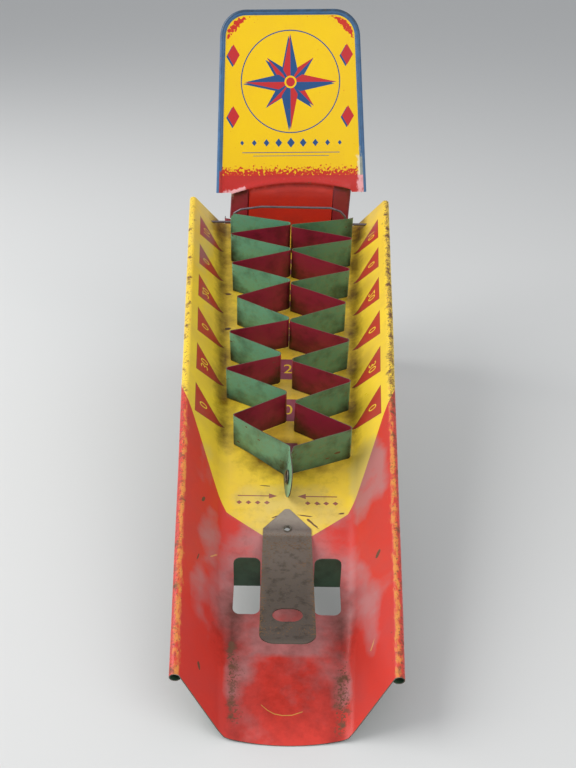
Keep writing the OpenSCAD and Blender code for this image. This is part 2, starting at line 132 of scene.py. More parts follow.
def disc(x, y, rx, ry=None, count=28, turn=0.0):
    """The outline of a round or oval spot, or of a diamond where it has four points."""
    ry = rx if ry is None else ry
    c, s = cos(turn), sin(turn)
    spots = [(rx * p, ry * q) for p, q in arc(0, 0, 1, 0, 2 * pi, count)[:-1]]
    return [(x + p * c - q * s, y + p * s + q * c) for p, q in spots]


def box(x0, y0, x1, y1):
    """The outline of a rectangle."""
    return [(x0, y0), (x1, y0), (x1, y1), (x0, y1)]


def line(a, b, width):
    """The outline of a printed line from a to b."""
    a, b = Vector(a), Vector(b)
    side = (b - a).orthogonal().normalized() * width / 2
    return [tuple(p) for p in (a + side, b + side, b - side, a - side)]


def creases(half, start, step, count):
    """Lines across a blank, a step apart, along which it can bend."""
    return [[(x, start + step * i) for x in (-half, half)] for i in range(count)]


def mirrored(outline):
    """The same outline on the other side, turning the same way round."""
    return [(-x, y) for x, y in reversed(outline)]


def area(outline):
    """Twice the area inside an outline, below zero where it runs clockwise."""
    return sum(a[0] * b[1] - b[0] * a[1] for a, b in zip(outline, outline[1:] + outline[:1]))


def measured(points):
    """The length from the first point to each."""
    marks = [0.0]
    for p, q in zip(points, points[1:]):
        marks.append(marks[-1] + (q - p).length)
    return marks


def stretch_at(marks, s):
    """Which stretch between marks the length s is on, and what share of it lies before s."""
    i = 0
    while i < len(marks) - 2 and marks[i + 1] < s:
        i += 1
    return i, (s - marks[i]) / (marks[i + 1] - marks[i])


def bent(s, radius, turn):
    """How far ahead, how far aside and how much turned a sheet is, s past a bend's start."""
    a = min(max(0.0, s) / radius, turn)
    run = max(0.0, s - radius * turn)
    ahead = min(0.0, s) + radius * sin(a) + run * cos(turn)
    return ahead, radius * (1 - cos(a)) + run * sin(turn), a


class Path:
    """A line of sheet seen on edge, with rounded folds, by its length."""

    def __init__(self, corners, radius, steps=6):
        corners = [Vector(c) for c in corners]
        self.points = [(corners[0], (corners[1] - corners[0]).normalized())]
        for a, b, c in zip(corners, corners[1:], corners[2:]):
            back, ahead = (a - b).normalized(), (c - b).normalized()
            half = acos(max(-1.0, min(1.0, back.dot(ahead)))) / 2
            centre = b + (back + ahead).normalized() * radius / sin(half)
            first = b + back * radius / tan(half) - centre
            last = b + ahead * radius / tan(half) - centre
            turn = atan2(first.cross(last), first.dot(last))
            for i in range(steps + 1):
                arm = Matrix.Rotation(turn * i / steps, 2) @ first
                heading = Vector((-arm.y, arm.x)) * copysign(1, turn)
                self.points.append((centre + arm, heading.normalized()))
        self.points.append((corners[-1], (corners[-1] - corners[-2]).normalized()))
        self.lengths = measured([p for p, _ in self.points])
        self.half = self.lengths[-1] / 2

    def at(self, s):
        """The point and the heading at length s, straight on beyond either end."""
        i, t = stretch_at(self.lengths, s)
        (p, hp), (q, hq) = self.points[i], self.points[i + 1]
        heading = hp.lerp(hq, min(1.0, max(0.0, t))).normalized()
        return p.lerp(q, t) if 0 <= t <= 1 else p + hp * (s - self.lengths[i]), heading

    def folds(self):
        """Where the sheet bends, as lengths from its middle."""
        return [s - self.half for s in self.lengths[1:-1]]


def linear(code):
    """A colour written as sRGB hex, as linear light."""
    parts = [int(code[i : i + 2], 16) / 255 for i in (1, 3, 5)]
    return (*(p / 12.92 if p <= 0.04045 else ((p + 0.055) / 1.055) ** 2.4 for p in parts), 1.0)


def put(tree, kind, inputs=None, **settings):
    """Add a node with its settings, and its inputs as values or as links.

    A node given as an input stands for its first output.
    """
    node = tree.nodes.new(kind)
    for name, value in settings.items():
        setattr(node, name, value)
    for name, value in (inputs or {}).items():
        if isinstance(value, bpy.types.Node):
            value = value.outputs[0]
        if isinstance(value, bpy.types.NodeSocket):
            tree.links.new(value, node.inputs[name])
        else:
            node.inputs[name].default_value = value
    return node


def finish_of(name, **shader):
    """A new material, its tree and its shader with plain values set."""
    material = bpy.data.materials.new(name)
    material.use_nodes = True
    tree = material.node_tree
    surface = tree.nodes["Principled BSDF"]
    for socket, value in shader.items():
        surface.inputs[socket.replace("_", " ")].default_value = value
    return material, tree, surface


def metal_state(tree):
    """The flat place on the sheet, and how rubbed and rusty the metal is there, how dark with dirt
    and painted shade, and how misty.
    """
    flat = put(tree, "ShaderNodeAttribute", attribute_name="flat")
    wear = put(tree, "ShaderNodeAttribute", attribute_name="wear")
    parts = put(tree, "ShaderNodeSeparateColor", {"Color": wear})
    return flat.outputs["Vector"], *parts.outputs, wear.outputs["Alpha"]


def patches(tree, amount, grain, spread, cut, gain):
    """Ragged spots that grow with amount: 0 to 1 where it and a grain's swing pass a cut."""
    swing = {0: grain, 1: spread, 2: amount}
    raised = put(tree, "ShaderNodeMath", swing, operation="MULTIPLY_ADD")
    level = {0: raised, 1: gain, 2: -(cut + spread / 2) * gain}
    return put(tree, "ShaderNodeMath", level, operation="MULTIPLY_ADD", use_clamp=True)


def grown(tree, rows):
    """Grains on the flat sheet, from each one's place, its size in mm, detail and roughness."""
    return [
        put(
            tree,
            "ShaderNodeTexNoise",
            {"Vector": place, "Scale": 1 / size, "Detail": detail, "Roughness": roughness},
        )
        for place, size, detail, roughness in rows
    ]


def coated(tree, surface, base, layers, rough, relief, strength, depth):
    """Lay colours over a base one by one, and give the shader the result, its gloss and relief."""
    colour = linear(base)
    for blend, mask, code in layers:
        inputs = {"Fac": mask, "Color1": colour, "Color2": linear(code)}
        colour = put(tree, "ShaderNodeMixRGB", inputs, blend_type=blend)
    bump = put(tree, "ShaderNodeBump", {"Height": relief, "Strength": strength, "Distance": depth})
    for socket, node in (("Base Color", colour), ("Roughness", rough), ("Normal", bump)):
        tree.links.new(node.outputs[0], surface.inputs[socket])


def printed_tin(name, ink, dull, under="#DE8C42", film="#C62B24", misty=False):
    """Lithographed tinplate: ink under a thin varnish on rolled steel. It gives a flat even
    colour with a soft gloss, worn through at the high places and dotted with rust. The film over
    it is either a second ink sprayed in dots, or the milky mist that old varnish takes on."""
    material, tree, surface = finish_of(name, Metallic=0.0, IOR=1.45)
    flat, rub, rust, dirt_and_shade, mist = metal_state(tree)
    # Rubbed spots are drawn out along the sheet, the way that hands slide.
    drawn = put(tree, "ShaderNodeVectorMath", {0: flat, 1: (1.0, 0.4, 1.0)}, operation="MULTIPLY")
    clouds, ragged, blotches, pinholes = grown(
        tree,
        (
            # Handling dulls the print in clouds of about 30 mm.
            (flat, 30, 6.0, 0.6),
            # Rubbed spots are 2 mm wide.
            (drawn, 2.4, 8.0, 0.65),
            # Rust spreads in blotches of 2 to 6 mm.
            (flat, 6, 10.0, 0.66),
            # Pinholes in the varnish, drawn at 1 mm, which is as fine as shows.
            (flat, 1.1, 3.0, 0.6),
        ),
    )
    if misty:
        filmed = patches(tree, mist, clouds, 1.7, 0.4, 1.9)
    else:
        # Sprayed ink falls in dots that run together to lumps of about 2 mm.
        lumps = put(tree, "ShaderNodeTexNoise", {"Vector": flat, "Scale": 1 / 1.9, "Detail": 2.0})
        filmed = patches(tree, mist, lumps, 2.5, 0.54, 4.0)
    worn = patches(tree, rub, ragged, 1.9, 0.66, 3.2)
    specks = patches(tree, rust, pinholes, 2.6, 0.86, 4.0)
    spots = patches(tree, rust, blotches, 3.0, 0.78, 2.6)
    rusty = put(tree, "ShaderNodeMath", {0: specks, 1: spots}, operation="MAXIMUM")
    layers = (
        ("MIX", patches(tree, 0.0, clouds, 2.2, -0.2, 1.3), dull),
        ("MIX", filmed, film),
        ("MIX", worn, under),
        # Dirt and painted shade darken the print with a dull brown.
        ("MULTIPLY", patches(tree, dirt_and_shade, blotches, 1.0, 0.2, 1.1), "#7A6A50"),
        ("MIX", rusty, "#6C4832"),
    )
    # The varnish is glossy, duller in the clouds, and dull where it is worn or rusty.
    bare = put(tree, "ShaderNodeMath", {0: worn, 1: rusty}, operation="MAXIMUM")
    gloss = put(tree, "ShaderNodeMath", {0: clouds, 1: 0.3, 2: 0.18}, operation="MULTIPLY_ADD")
    rough = put(tree, "ShaderNodeMath", {0: bare, 1: 0.35, 2: gloss}, operation="MULTIPLY_ADD")
    relief = put(tree, "ShaderNodeMath", {0: rusty, 1: 0.8, 2: pinholes}, operation="MULTIPLY_ADD")
    coated(tree, surface, ink, layers, rough, relief, 0.18, 0.0002)
    return material


def lacquered_tin(name, coat, dull, stain):
    """Stove lacquer on tinplate. It gives one colour all over, a little streaky, chipped to the
    metal in places."""
    material, tree, surface = finish_of(name, Metallic=0.0, IOR=1.5)
    flat, rub, rust, dirt_and_shade, _ = metal_state(tree)
    # The lacquer is uneven over some 14 mm, and its chips and stains are 2 to 10 mm long.
    clouds, ragged = grown(tree, ((flat, 14, 6.0, 0.6), (flat, 2.5, 8.0, 0.7)))
    chipped = patches(tree, rub, ragged, 2.0, 0.62, 8.0)
    layers = (
        ("MIX", patches(tree, 0.0, clouds, 1.8, 0.0, 1.2), dull),
        ("MIX", patches(tree, 0.0, ragged, 2.4, 0.0, 1.3), stain),
        ("MIX", chipped, "#8A8272"),
        ("MIX", patches(tree, rust, ragged, 2.4, 0.75, 6.0), "#4B3524"),
        # Dirt and painted shade darken the lacquer.
        ("MULTIPLY", patches(tree, dirt_and_shade, clouds, 1.6, 0.2, 1.4), "#5E5040"),
    )
    rough = put(tree, "ShaderNodeMath", {0: chipped, 1: 0.2, 2: 0.38}, operation="MULTIPLY_ADD")
    coated(tree, surface, coat, layers, rough, ragged, 0.12, 0.0002)
    return material


def aged_steel(name, clean, stained, rust_colour, grain, metal, rough=0.45):
    """Bare rolled steel gone brown with age. It gives dull grey metal under a stain whose grain
    is so many mm wide, with rust in its pits."""
    material, tree, surface = finish_of(name, Metallic=metal)
    flat, rub, rust, dirt_and_shade, _ = metal_state(tree)
    clouds, pits = grown(tree, ((flat, grain, 8.0, 0.65), (flat, 1.2, 6.0, 0.7)))
    layers = (
        ("MIX", patches(tree, -0.04, clouds, 3.8, 0.0, 1.6), stained),
        ("MIX", patches(tree, rub, clouds, 0.8, 0.25, 1.4), "#A89C8E"),
        ("MULTIPLY", dirt_and_shade, "#5E554C"),
        ("MIX", patches(tree, rust, pits, 2.2, 0.62, 3.5), rust_colour),
    )
    dull = put(tree, "ShaderNodeMath", {0: pits, 1: 0.3, 2: rough - 0.15}, operation="MULTIPLY_ADD")
    coated(tree, surface, clean, layers, dull, pits, 0.3, 0.0003)
    return material


RED = printed_tin("chute_litho_red", "#D63C30", "#C4403A", film="#BC7674", misty=True)
YELLOW = printed_tin("chute_litho_yellow", "#FAD53C", "#E4BE48", film="#E4C868", misty=True)
SIGN_RED = printed_tin("sign_litho_red", "#CE2A2C", "#C43034", under="#F2B0B4")
SIGN_YELLOW = printed_tin("sign_litho_yellow", "#FFD200", "#FACA06", "#F6E8B8", film="#D2301C")
BLUE = printed_tin("sign_litho_blue", "#205088", "#26558C", under="#B9B39B")
HEM_BLUE = printed_tin("sign_hem_litho_blue", "#44709E", "#4A6F96", under="#9FA79F")
OUTLINE = printed_tin("litho_brown_line", "#96483A", "#96483A", film="#A06A5C", misty=True)
FADED_RED = printed_tin("litho_faded_red", "#9A4C5C", "#A05A62", film="#A8767C", misty=True)
PENNANT_RED = printed_tin("pennant_litho_red", "#C03A2C", "#B84A40", film="#A86468", misty=True)
# A darker copy of the neck's red for the flanges outside the creases: painted shade where they turn
# from the light.
SHADED_NECK_RED = printed_tin("neck_litho_painted_shade_red", "#8E2430", "#86242C", under="#E6CDB0")
NECK_RED = printed_tin("neck_litho_red", "#C4301F", "#AE2A22", under="#E6CDB0")
SCRATCH = printed_tin("scratch_to_base_coat", "#E0A24E", "#D08C44", film="#D8A870", misty=True)
SCAR = printed_tin("rust_scar", "#71503A", "#5A4030", film="#71503A", misty=True)
UNDERSIDE = lacquered_tin("dark_green_lacquer", "#38543F", "#2E4636", "#3C4A38")
GREEN = lacquered_tin("divider_green_lacquer", "#6CA88C", "#5F9A80", "#7E8E68")
STAINED_GREEN = lacquered_tin("divider_green_lacquer_stained", "#5C8A66", "#547C58", "#7C7A4C")
MAROON = lacquered_tin("divider_maroon_lacquer", "#94203A", "#861C34", "#7A2A34")
CUT_EDGE = aged_steel("cut_sheet_edge", "#6E655A", "#3E342C", "#4A2F1E", 3.0, 0.6)
SPRING_STEEL = aged_steel("spring_steel_patina", "#7A6E66", "#463E38", "#86603C", 5.0, 0.5, 0.5)
WIRE_STEEL = aged_steel("hinge_wire_steel", "#7A7078", "#5A5158", "#4A3A30", 6.0, 0.6)
EYELET_STEEL = aged_steel("eyelet_steel", "#746E62", "#4C463C", "#4A3A2C", 4.0, 0.7, 0.4)


def unworn(x, y):
    """No rub, rust, dirt, painted shade or mist."""
    return 0.0, 0.0, 0.0, 0.0


def metal_object(name, points, faces, flat, wear, materials):
    """An object from points in mm, with the two attributes that the finishes read."""
    mesh = bpy.data.meshes.new(name)
    mesh.from_pydata([p * MM for p in points], [], faces)
    for material in materials:
        mesh.materials.append(material)
    for attribute, kind, field, values in (
        ("flat", "FLOAT_VECTOR", "vector", flat),
        ("wear", "FLOAT_COLOR", "color", wear),
    ):
        data = mesh.attributes.new(attribute, kind, "POINT").data
        data.foreach_set(field, [x for value in values for x in value])
    made = bpy.data.objects.new(name, mesh)
    bpy.context.scene.collection.objects.link(made)
    return made


def settle(made, body, *nodes):
    """Let a piece ride on a body, in place of its CAD nodes."""
    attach(made, body)
    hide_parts(*nodes)


class Tinwork:
    """One piece of sheet metal, gathered from flat blanks that are bent to their places."""

    def __init__(self):
        self.points, self.faces, self.finish, self.normals = [], [], [], []
        self.flat, self.wear, self.uses = [], [], []

    def ink(self, material):
        """The slot of a finish on this piece."""
        if material not in self.uses:
            self.uses.append(material)
        return self.uses.index(material)

    def blank(
        self, outline, bend, face, back=UNDERSIDE, thickness=SHEET,
        holes=(), prints=(), folds=(), dots=(), wear=unworn,
    ):
        """Cut a blank, print it and bend it. bend gives the face's place for a flat point, and
        wear the metal's state there. Where prints overlap, the last one shows."""
        corners, edges, loops = [], [], []
        for ring in (outline, *holes, *(shape for shape, _ in prints)):
            loops.append(list(range(len(corners), len(corners) + len(ring))))
            corners += ring if area(ring) > 0 else ring[::-1]
        for fold in folds:
            edges += [(len(corners) + i, len(corners) + i + 1) for i in range(len(fold) - 1)]
            corners += fold
        corners += dots
        cut = geometry.delaunay_2d_cdt([Vector(c) for c in corners], edges, loops, 0, 1e-4)
        flat, triangles, origins = cut[0], cut[2], cut[5]
        kept = []
        for triangle, origin in zip(triangles, origins):
            if 0 in origin and not any(0 < i <= len(holes) for i in origin):
                shape = max(origin)
                ink = prints[shape - 1 - len(holes)][1] if shape > len(holes) else face
                kept.append((list(triangle), self.ink(ink)))
        used = sorted({i for triangle, _ in kept for i in triangle})
        number = {old: i for i, old in enumerate(used)}
        start, count = len(self.points), len(used)
        tops, normals = [], []
        # A normal comes from how the bend moves over this far to either side.
        step = 0.04
        for old in used:
            x, y = flat[old]
            across = bend(x + step, y) - bend(x - step, y)
            along = bend(x, y + step) - bend(x, y - step)
            tops.append(bend(x, y))
            normals.append(across.cross(along).normalized())
            self.flat.append((x, y, 0.0))
            self.wear.append(wear(x, y))
        self.points += tops + [p - n * thickness for p, n in zip(tops, normals)]
        self.flat += [(x, y, BACK_SHIFT) for x, y, _ in self.flat[start:]]
        self.wear += self.wear[start:]
        sides = set()
        for triangle, ink in kept:
            a, b, c = (number[i] for i in triangle)
            if area([tuple(flat[i]) for i in triangle]) < 0:
                b, c = c, b
            self.faces.append([start + i for i in (a, b, c)])
            self.normals += [normals[i] for i in (a, b, c)]
            self.faces.append([start + count + i for i in (c, b, a)])
            self.normals += [-normals[i] for i in (c, b, a)]
            self.finish += [ink, self.ink(back)]
            sides |= {(a, b), (b, c), (c, a)}
        for a, b in sorted(sides):
            if (b, a) not in sides:
                self.faces.append([start + i for i in (a, count + a, count + b, b)])
                self.normals += [(tops[b] - tops[a]).cross(normals[a]).normalized()] * 4
                self.finish.append(self.ink(CUT_EDGE))

    def make(self, name):
        """Turn what was gathered into an object."""
        made = metal_object(name, self.points, self.faces, self.flat, self.wear, self.uses)
        made.data.polygons.foreach_set("material_index", self.finish)
        made.data.polygons.foreach_set("use_smooth", [True] * len(self.faces))
        made.data.normals_split_custom_set([tuple(n) for n in self.normals])
        return made


def wall_section(c):
    """Across the chute's side, c mm of sheet out from the floor's edge: how far out and up."""
    out, up, _ = bent(min(c, SLANT_END), BEND_R, WALL_ANGLE)
    if c <= SLANT_END:
        return out, up
    turn = WALL_ANGLE + pi / 2 - (c - SLANT_END) / HEM_R
    return (
        out + HEM_R * (sin(WALL_ANGLE) + cos(turn)),
        up + HEM_R * (sin(turn) - cos(WALL_ANGLE)),
    )


def along_wall(x, y):
    """A flat point as length along the floor's edge, and distance out from it."""
    x = abs(x) - LIP_HALF
    return x * sin(TAPER) + y * cos(TAPER), x * cos(TAPER) - y * sin(TAPER)


def flat_at(q, c):
    """The flat point on the right at length q along the floor's edge and c out from it."""
    x = LIP_HALF + q * sin(TAPER) + c * cos(TAPER)
    return x, q * cos(TAPER) - c * sin(TAPER)


def flat_under(u, v):
    """The flat point that ends up over the plan point (u, v), on the floor, bend or slant."""
    q, out = along_wall(u, v)
    bend_out = BEND_R * sin(WALL_ANGLE)
    if out <= 0:
        c = out
    elif out < bend_out:
        c = BEND_R * asin(out / BEND_R)
    else:
        c = BEND_ARC + (out - bend_out) / cos(WALL_ANGLE)
    return flat_at(q, c)


def chute_bend(x, y):
    """Where a flat point of the chute's face goes, with slight waves of a hand-fed pressing."""
    q, c = along_wall(x, y)
    out, up = wall_section(c)
    side = 1 if x >= 0 else -1
    wave = 0.12 * sin(q / 17 + side) * smooth(5, 25, c) * smooth(HEM_END, SLANT_END, c)
    wave += 0.1 * sin(q / 31 + 2 * side) * smooth(-14, 2, c)
    wave *= smooth(0, 40, q) * smooth(FLOOR_LEN, FLOOR_LEN - 30, q)
    out -= wave * sin(WALL_ANGLE) * smooth(0, 8, c)
    up += wave * cos(WALL_ANGLE)
    u = LIP_HALF + q * sin(TAPER) + out * cos(TAPER)
    return on_slope(side * u, q * cos(TAPER) - out * sin(TAPER), up)


def chute_outline():
    """The right half of the blank, from the middle of the lip to the middle of the rear end."""

    def level(v, c):
        """The flat point c out from the floor's edge that ends up v along the floor."""
        return flat_at((v + wall_section(c)[0] * sin(TAPER)) / cos(TAPER), c)

    radius = (LIP_CORNER.x**2 + LIP_CORNER.y**2) / (2 * LIP_CORNER.y)
    half = asin(LIP_CORNER.x / radius)
    lip = arc(0, radius, radius, -pi / 2, half - pi / 2, 10)
    slant_u = LIP_HALF + HEM_START * tan(TAPER) + wall_section(SLANT_END)[0]
    cut = [LIP_CORNER.lerp(Vector((slant_u, HEM_START)), i / 12) for i in range(1, 13)]
    roll = [SLANT_END + HEM_ARC * i / 16 for i in range(17)]
    rear = roll[::-1] + [BEND_ARC * i / 8 for i in range(8, -1, -1)]
    return [
        (0.0, 0.0),
        *(flat_under(*p) for p in lip[1:] + cut),
        *(level(HEM_START, c) for c in roll[1:]),
        *(level(FLOOR_LEN, c) for c in rear),
    ]


# Milky patches of the old varnish; and painted shade with some dirt, round the windows, under the
# spring's front and in the pocket between
# the front strips: their middles on the flat sheet, half widths and strengths.
MIST = (
    (0, 85, 40, 50, 0.9),
    (0, 54, 22, 12, 1.15),
    (-22, 36, 8, 17, 0.88),
    (24, 34, 7, 18, 0.8),
    (0, 138, 36, 20, 0.8),
    (48, 150, 14, 40, 1.0),
    (43, 66, 8, 32, 0.8),
    (53, 74, 9, 8, 0.6),
    (-50, 158, 8, 24, 0.6),
    (-42, 114, 8, 22, 0.7),
    (-48, 72, 8, 19, 0.7),
    (-40, 46, 6, 14, 0.5),
    (0, 300, 34, 90, 0.4),
    (-68, 385, 12, 46, 0.9),
    (-60, 315, 8, 22, 0.6),
    (66, 398, 9, 28, 0.5),
)
SHADE_AND_DIRT = (
    (0, 62, 32, 20, 0.14),
    (1, 24, 18, 19, 0.28),
    (-31, 62, 9, 22, 0.3),
    (30, 60, 8, 18, 0.2),
    (0, 176, 22, 13, 0.95),
)

# Rust near the lip: middles and half widths.
FRONT_RUST = (
    (-22, 34, 5, 12),
    (-19, 16, 7, 7),
    (-10, 8, 5, 4),
    (27, 24, 5, 16),
    (23, 7, 4, 5),
    (-25, 48, 4, 8),
)


def chute_wear(x, y):
    """How rubbed and rusty the chute is at a flat point, how dark with dirt and painted shade, and
    how misty.
    """
    q, c = along_wall(x, y)
    front = smooth(250, 150, q)
    # Hands have rubbed the hem's crest, the lip's edge and the front of the slant.
    rub = (0.55 + 0.38 * front) * bell(c, CREST - 0.5, 3)
    rub *= smooth(SLANT_END - 2, SLANT_END + 0.5, c)
    rub += 0.5 * bell(y, 0, 1.6) + 0.1 * bell(c, 14, 6) * front
    # Rust runs along the hem, more on the right, in the floor's bends and by the wire.
    heavy = 0.5 if x > 0 else 0.3
    rust = 0.14 + (0.3 + heavy * (1 - front)) * bell(c, CREST + 1, 4)
    rust += 0.32 * front * bell(c, CREST + 2, 5)
    rust += 0.46 * bell(c, 0.5, 4) * smooth(70, 48, y) * smooth(0, 8, y)
    rust += 0.34 * max(oval(x, y, *place) for place in FRONT_RUST)
    rust += 0.26 * bell(c, 3, 3.5) * smooth(160, 185, q) + 0.3 * bell(y, 0, 2)
    rust += 0.5 * bell(c, 9, 5) * smooth(398, 412, q)
    # Dirt and painted shade darken the bends behind the strips, most where each fold of a strip
    # comes near them, and by the wire. The front of the bends and the floor are a little darker
    # too.
    dirt_and_shade = 0.85 * bell(c, 4, 5) * smooth(170, 200, q) + 0.9 * bell(c, 9, 7) * smooth(396, 410, q)
    strays = FOLD_STRAYS[1 if x > 0 else -1]
    for (_, v), (_, along) in zip(STRIP_PLAN[2:14:2], strays[::2]):
        dirt_and_shade += 0.3 * bell(y, v + along, 8) * bell(c, 3, 6)
    dirt_and_shade += 0.5 * bell(c, -1, 5) * smooth(125, 60, y) + 0.2 * smooth(4, -4, c)
    # Painted shade with some dirt round the windows, under the spring's front and between the front
    # strips.
    dirt_and_shade += sum(power * oval(x, y, *place) for *place, power in SHADE_AND_DIRT)
    mist = max(power * oval(x, y, *place) for *place, power in MIST)
    mist *= 1 - 0.9 * oval(x, y, 52, 108, 12, 26)
    if y < 60:
        # The floor in front of the spring is clear in a large round spot, with a faint film.
        spot = smooth(0.96, 1.1, hypot((x - 1) / 20, (y - 22) / 24))
        mist = max(mist * spot, 0.4 * smooth(6, -6, c))
    return min(1.0, rub), min(1.0, rust), min(1.0, dirt_and_shade), mist


def digits(text, height):
    """Outlines of plain digits from Blender's own font, centred, largest first."""
    curve = bpy.data.curves.new("digits", "FONT")
    # The font's digits are 0.73 of its size high.
    curve.body, curve.size = text, height / 0.73
    curve.align_x = curve.align_y = "CENTER"
    source = bpy.data.objects.new("digits", curve)
    bpy.context.scene.collection.objects.link(source)
    shape = source.to_curve(bpy.context.evaluated_depsgraph_get())
    rings = []
    for spline in shape.splines:
        ring = []
        knots = list(spline.bezier_points)
        for a, b in zip(knots, knots[1:] + knots[:1]):
            piece = geometry.interpolate_bezier(a.co, a.handle_right, b.handle_left, b.co, 5)
            ring += [(p.x, p.y) for p in piece[:-1]]
        rings.append(ring)
    source.to_curve_clear()
    bpy.data.objects.remove(source)
    bpy.data.curves.remove(curve)
    return sorted(rings, key=lambda ring: -abs(area(ring)))


def lettered(text, height, place, ink, ground):
    """Prints of digits: outer outlines in ink, and the counters inside them in the ground."""
    rings = digits(text, height)
    shapes = []
    for i, ring in enumerate(rings):
        inside = any(
            min(xs) < ring[0][0] < max(xs) and min(ys) < ring[0][1] < max(ys)
            for xs, ys in (zip(*other) for other in rings[:i])
        )
        shapes.append(([place(x, y) for x, y in ring], ground if inside else ink))
    return shapes


# The pennants on the walls: where each starts along the floor's edge, how long they are, and how
# far out their top edge and their tip lie.
PENNANT_Q = [197.4 + 37.2 * i for i in range(6)]
PENNANT_TEXT = ("0", "30", "0", "20", "0", "10")
PENNANT_LEN, PENNANT_OUT, PENNANT_TIP = 23.5, 26.6, 3.6

# Their digits: how high, how far along a pennant, and how far below its top edge.
PENNANT_DIGIT, DIGIT_ALONG, DIGIT_BELOW = 6.6, 9.6, 6.4


def pennant_prints():
    """Six pennants on each side wall, with plain numbers."""
    made = []
    for side in (1, -1):
        for q, text in zip(PENNANT_Q, PENNANT_TEXT):
            for grow, ink in ((0.3, OUTLINE), (0.0, PENNANT_RED)):
                shape = (
                    flat_at(q - grow * 1.5, PENNANT_OUT + grow),
                    flat_at(q + PENNANT_LEN + grow * 3, PENNANT_OUT + grow),
                    flat_at(q + 2.8 - grow, PENNANT_TIP - grow * 3),
                )
                made.append(([(side * x, y) for x, y in shape], ink))

            def place(x, y, q=q, side=side):
                fx, fy = flat_at(q + DIGIT_ALONG - side * x, PENNANT_OUT - DIGIT_BELOW - y)
                return side * fx, fy

            made += lettered(text, PENNANT_DIGIT, place, YELLOW, PENNANT_RED)
    return made


# The right edge of the yellow field on the floor, from its tip in front to the rear.
FIELD = (
    (0, 111.5), (6, 114.6), (13.3, 118.8), (22.5, 126), (32.5, 134), (43.5, 155), (54, 176),
    (62, 192), (67.5, 201.0), (73.5, 215.5), (80, 224), (120, 242), (120, 460),
)

# The numbered labels between the strips: the first one's lower edge, their pitch and size, and
# how high their digits are and stand.
LABEL_V, LABEL_PITCH, LABEL_HALF, LABEL_LEN = 168.5, 38, 5.6, 19.5
LABEL_DIGIT, LABEL_MIDDLE = 9.0, 9.7

# The arrows at the lift tab, and the rows of diamonds in front of them.
ARROW_V, ROW_V = 146.5, 141.6

# Rust scars on the floor and walls, and short scratches: middle, half length, half width, turn.
SCARS = (
    (9.5, 132.5, 4.0, 0.45, -0.15),
    (13.5, 127.0, 4.6, 0.6, -0.85),
    (-6.5, 131.5, 2.2, 0.4, 0.5),
    (29.0, 134.5, 1.6, 0.6, 0.2),
    (17.0, 141.0, 1.4, 0.3, 0.1),
    (-12.0, 154.0, 3.0, 0.35, -0.1),
    (51.0, 95.0, 2.6, 1.1, 1.0),
    (-49.2, 132.5, 2.3, 0.9, 1.2),
    (-44.5, 31.0, 2.2, 0.8, 1.9),
    (-50.0, 92.0, 2.4, 0.4, 1.3),
    (-39.6, 294.5, 2.2, 1.3, 0.3),
    (-41.2, 333.5, 2.2, 1.2, 0.0),
)
SCRATCHES = ((44.0, 44.0, 3.2, 0.3, 1.1), (-39.0, 100.0, 3.4, 0.3, 0.8))

# The thin arc that something round has scratched into the front of the floor.
LONG_SCRATCH = ((-11.3, 19.6), (-8.5, 17.0), (-5.5, 15.2), (-1.7, 14.4), (2.5, 14.6), (7.3, 16.4))


def floor_prints():
    """The yellow field, the labels between the strips, arrows at the lift tab, and scars."""
    made = [([*FIELD, *mirrored(FIELD)[:-1]], YELLOW)]
    for i, text in enumerate("102030"):
        low = LABEL_V + LABEL_PITCH * i
        made.append((box(-LABEL_HALF, low, LABEL_HALF, low + LABEL_LEN), FADED_RED))
        middle = low + LABEL_MIDDLE
        made += lettered(
            text, LABEL_DIGIT, lambda x, y, middle=middle: (x, y + middle), YELLOW, FADED_RED
        )
    for side in (1, -1):
        made += [
            (line((side * 9, ARROW_V), (side * 27, ARROW_V), 0.7), OUTLINE),
            ([(side * x, ARROW_V + up) for x, up in ((5.5, 0), (10, -1.9), (10, 1.9))], OUTLINE),
            *((disc(side * x, ROW_V, 1.6, 1.4, 4), OUTLINE) for x in (11, 16, 21, 26)),
        ]
    for rows, ink in ((SCARS, SCAR), (SCRATCHES, SCRATCH)):
        for x, y, long, wide, turn in rows:
            # A ragged edge, so that no two look alike.
            blot = [
                (x + p * (1 + 0.2 * sin(7 * q + x)), y + q)
                for p, q in disc(0, 0, long, wide, 14, turn)
            ]
            made.append((blot, ink))
    back = [(x, y - 0.2) for x, y in reversed(LONG_SCRATCH)]
    made.append(([(x, y + 0.25) for x, y in LONG_SCRATCH] + back, SCRATCH))
    return made


def tongue(left, low, high, steps):
    """The outline of a return stop or its window: a square top, and rounded corners below."""
    right = left + STOP_W
    return [
        (left, high),
        *arc(left + STOP_R, low + STOP_R, STOP_R, pi, pi * 1.5, steps),
        *arc(right - STOP_R, low + STOP_R, STOP_R, pi * 1.5, pi * 2, steps),
        (right, high),
    ]


def stop_bend(side):
    """A return stop: flat floor, a tight bend and a tongue that leans back."""

    def bend(x, y):
        ahead, up, _ = bent(-y, TIGHT_R, STOP_TURN)
        # It starts a hair above the floor, which it overlaps there.
        return on_slope(side * STOP_U + x, STOP_V - ahead, up + 0.01)

    return bend


def rear_tab_bend(middle):
    """A tab of the floor that runs through the stand and is bent down behind it."""
    outer = TIGHT_R + SHEET
    turn = pi / 2 + SLOPE
    start = (STAND_FROM_LIP + SHEET + PLAY - TIGHT_R - outer * sin(SLOPE)) / cos(SLOPE)

    def bend(x, y):
        ahead, down, _ = bent(FLOOR_LEN - 1 + y - start, outer, turn)
        return on_slope(middle + x, start + ahead, -down)

    return bend


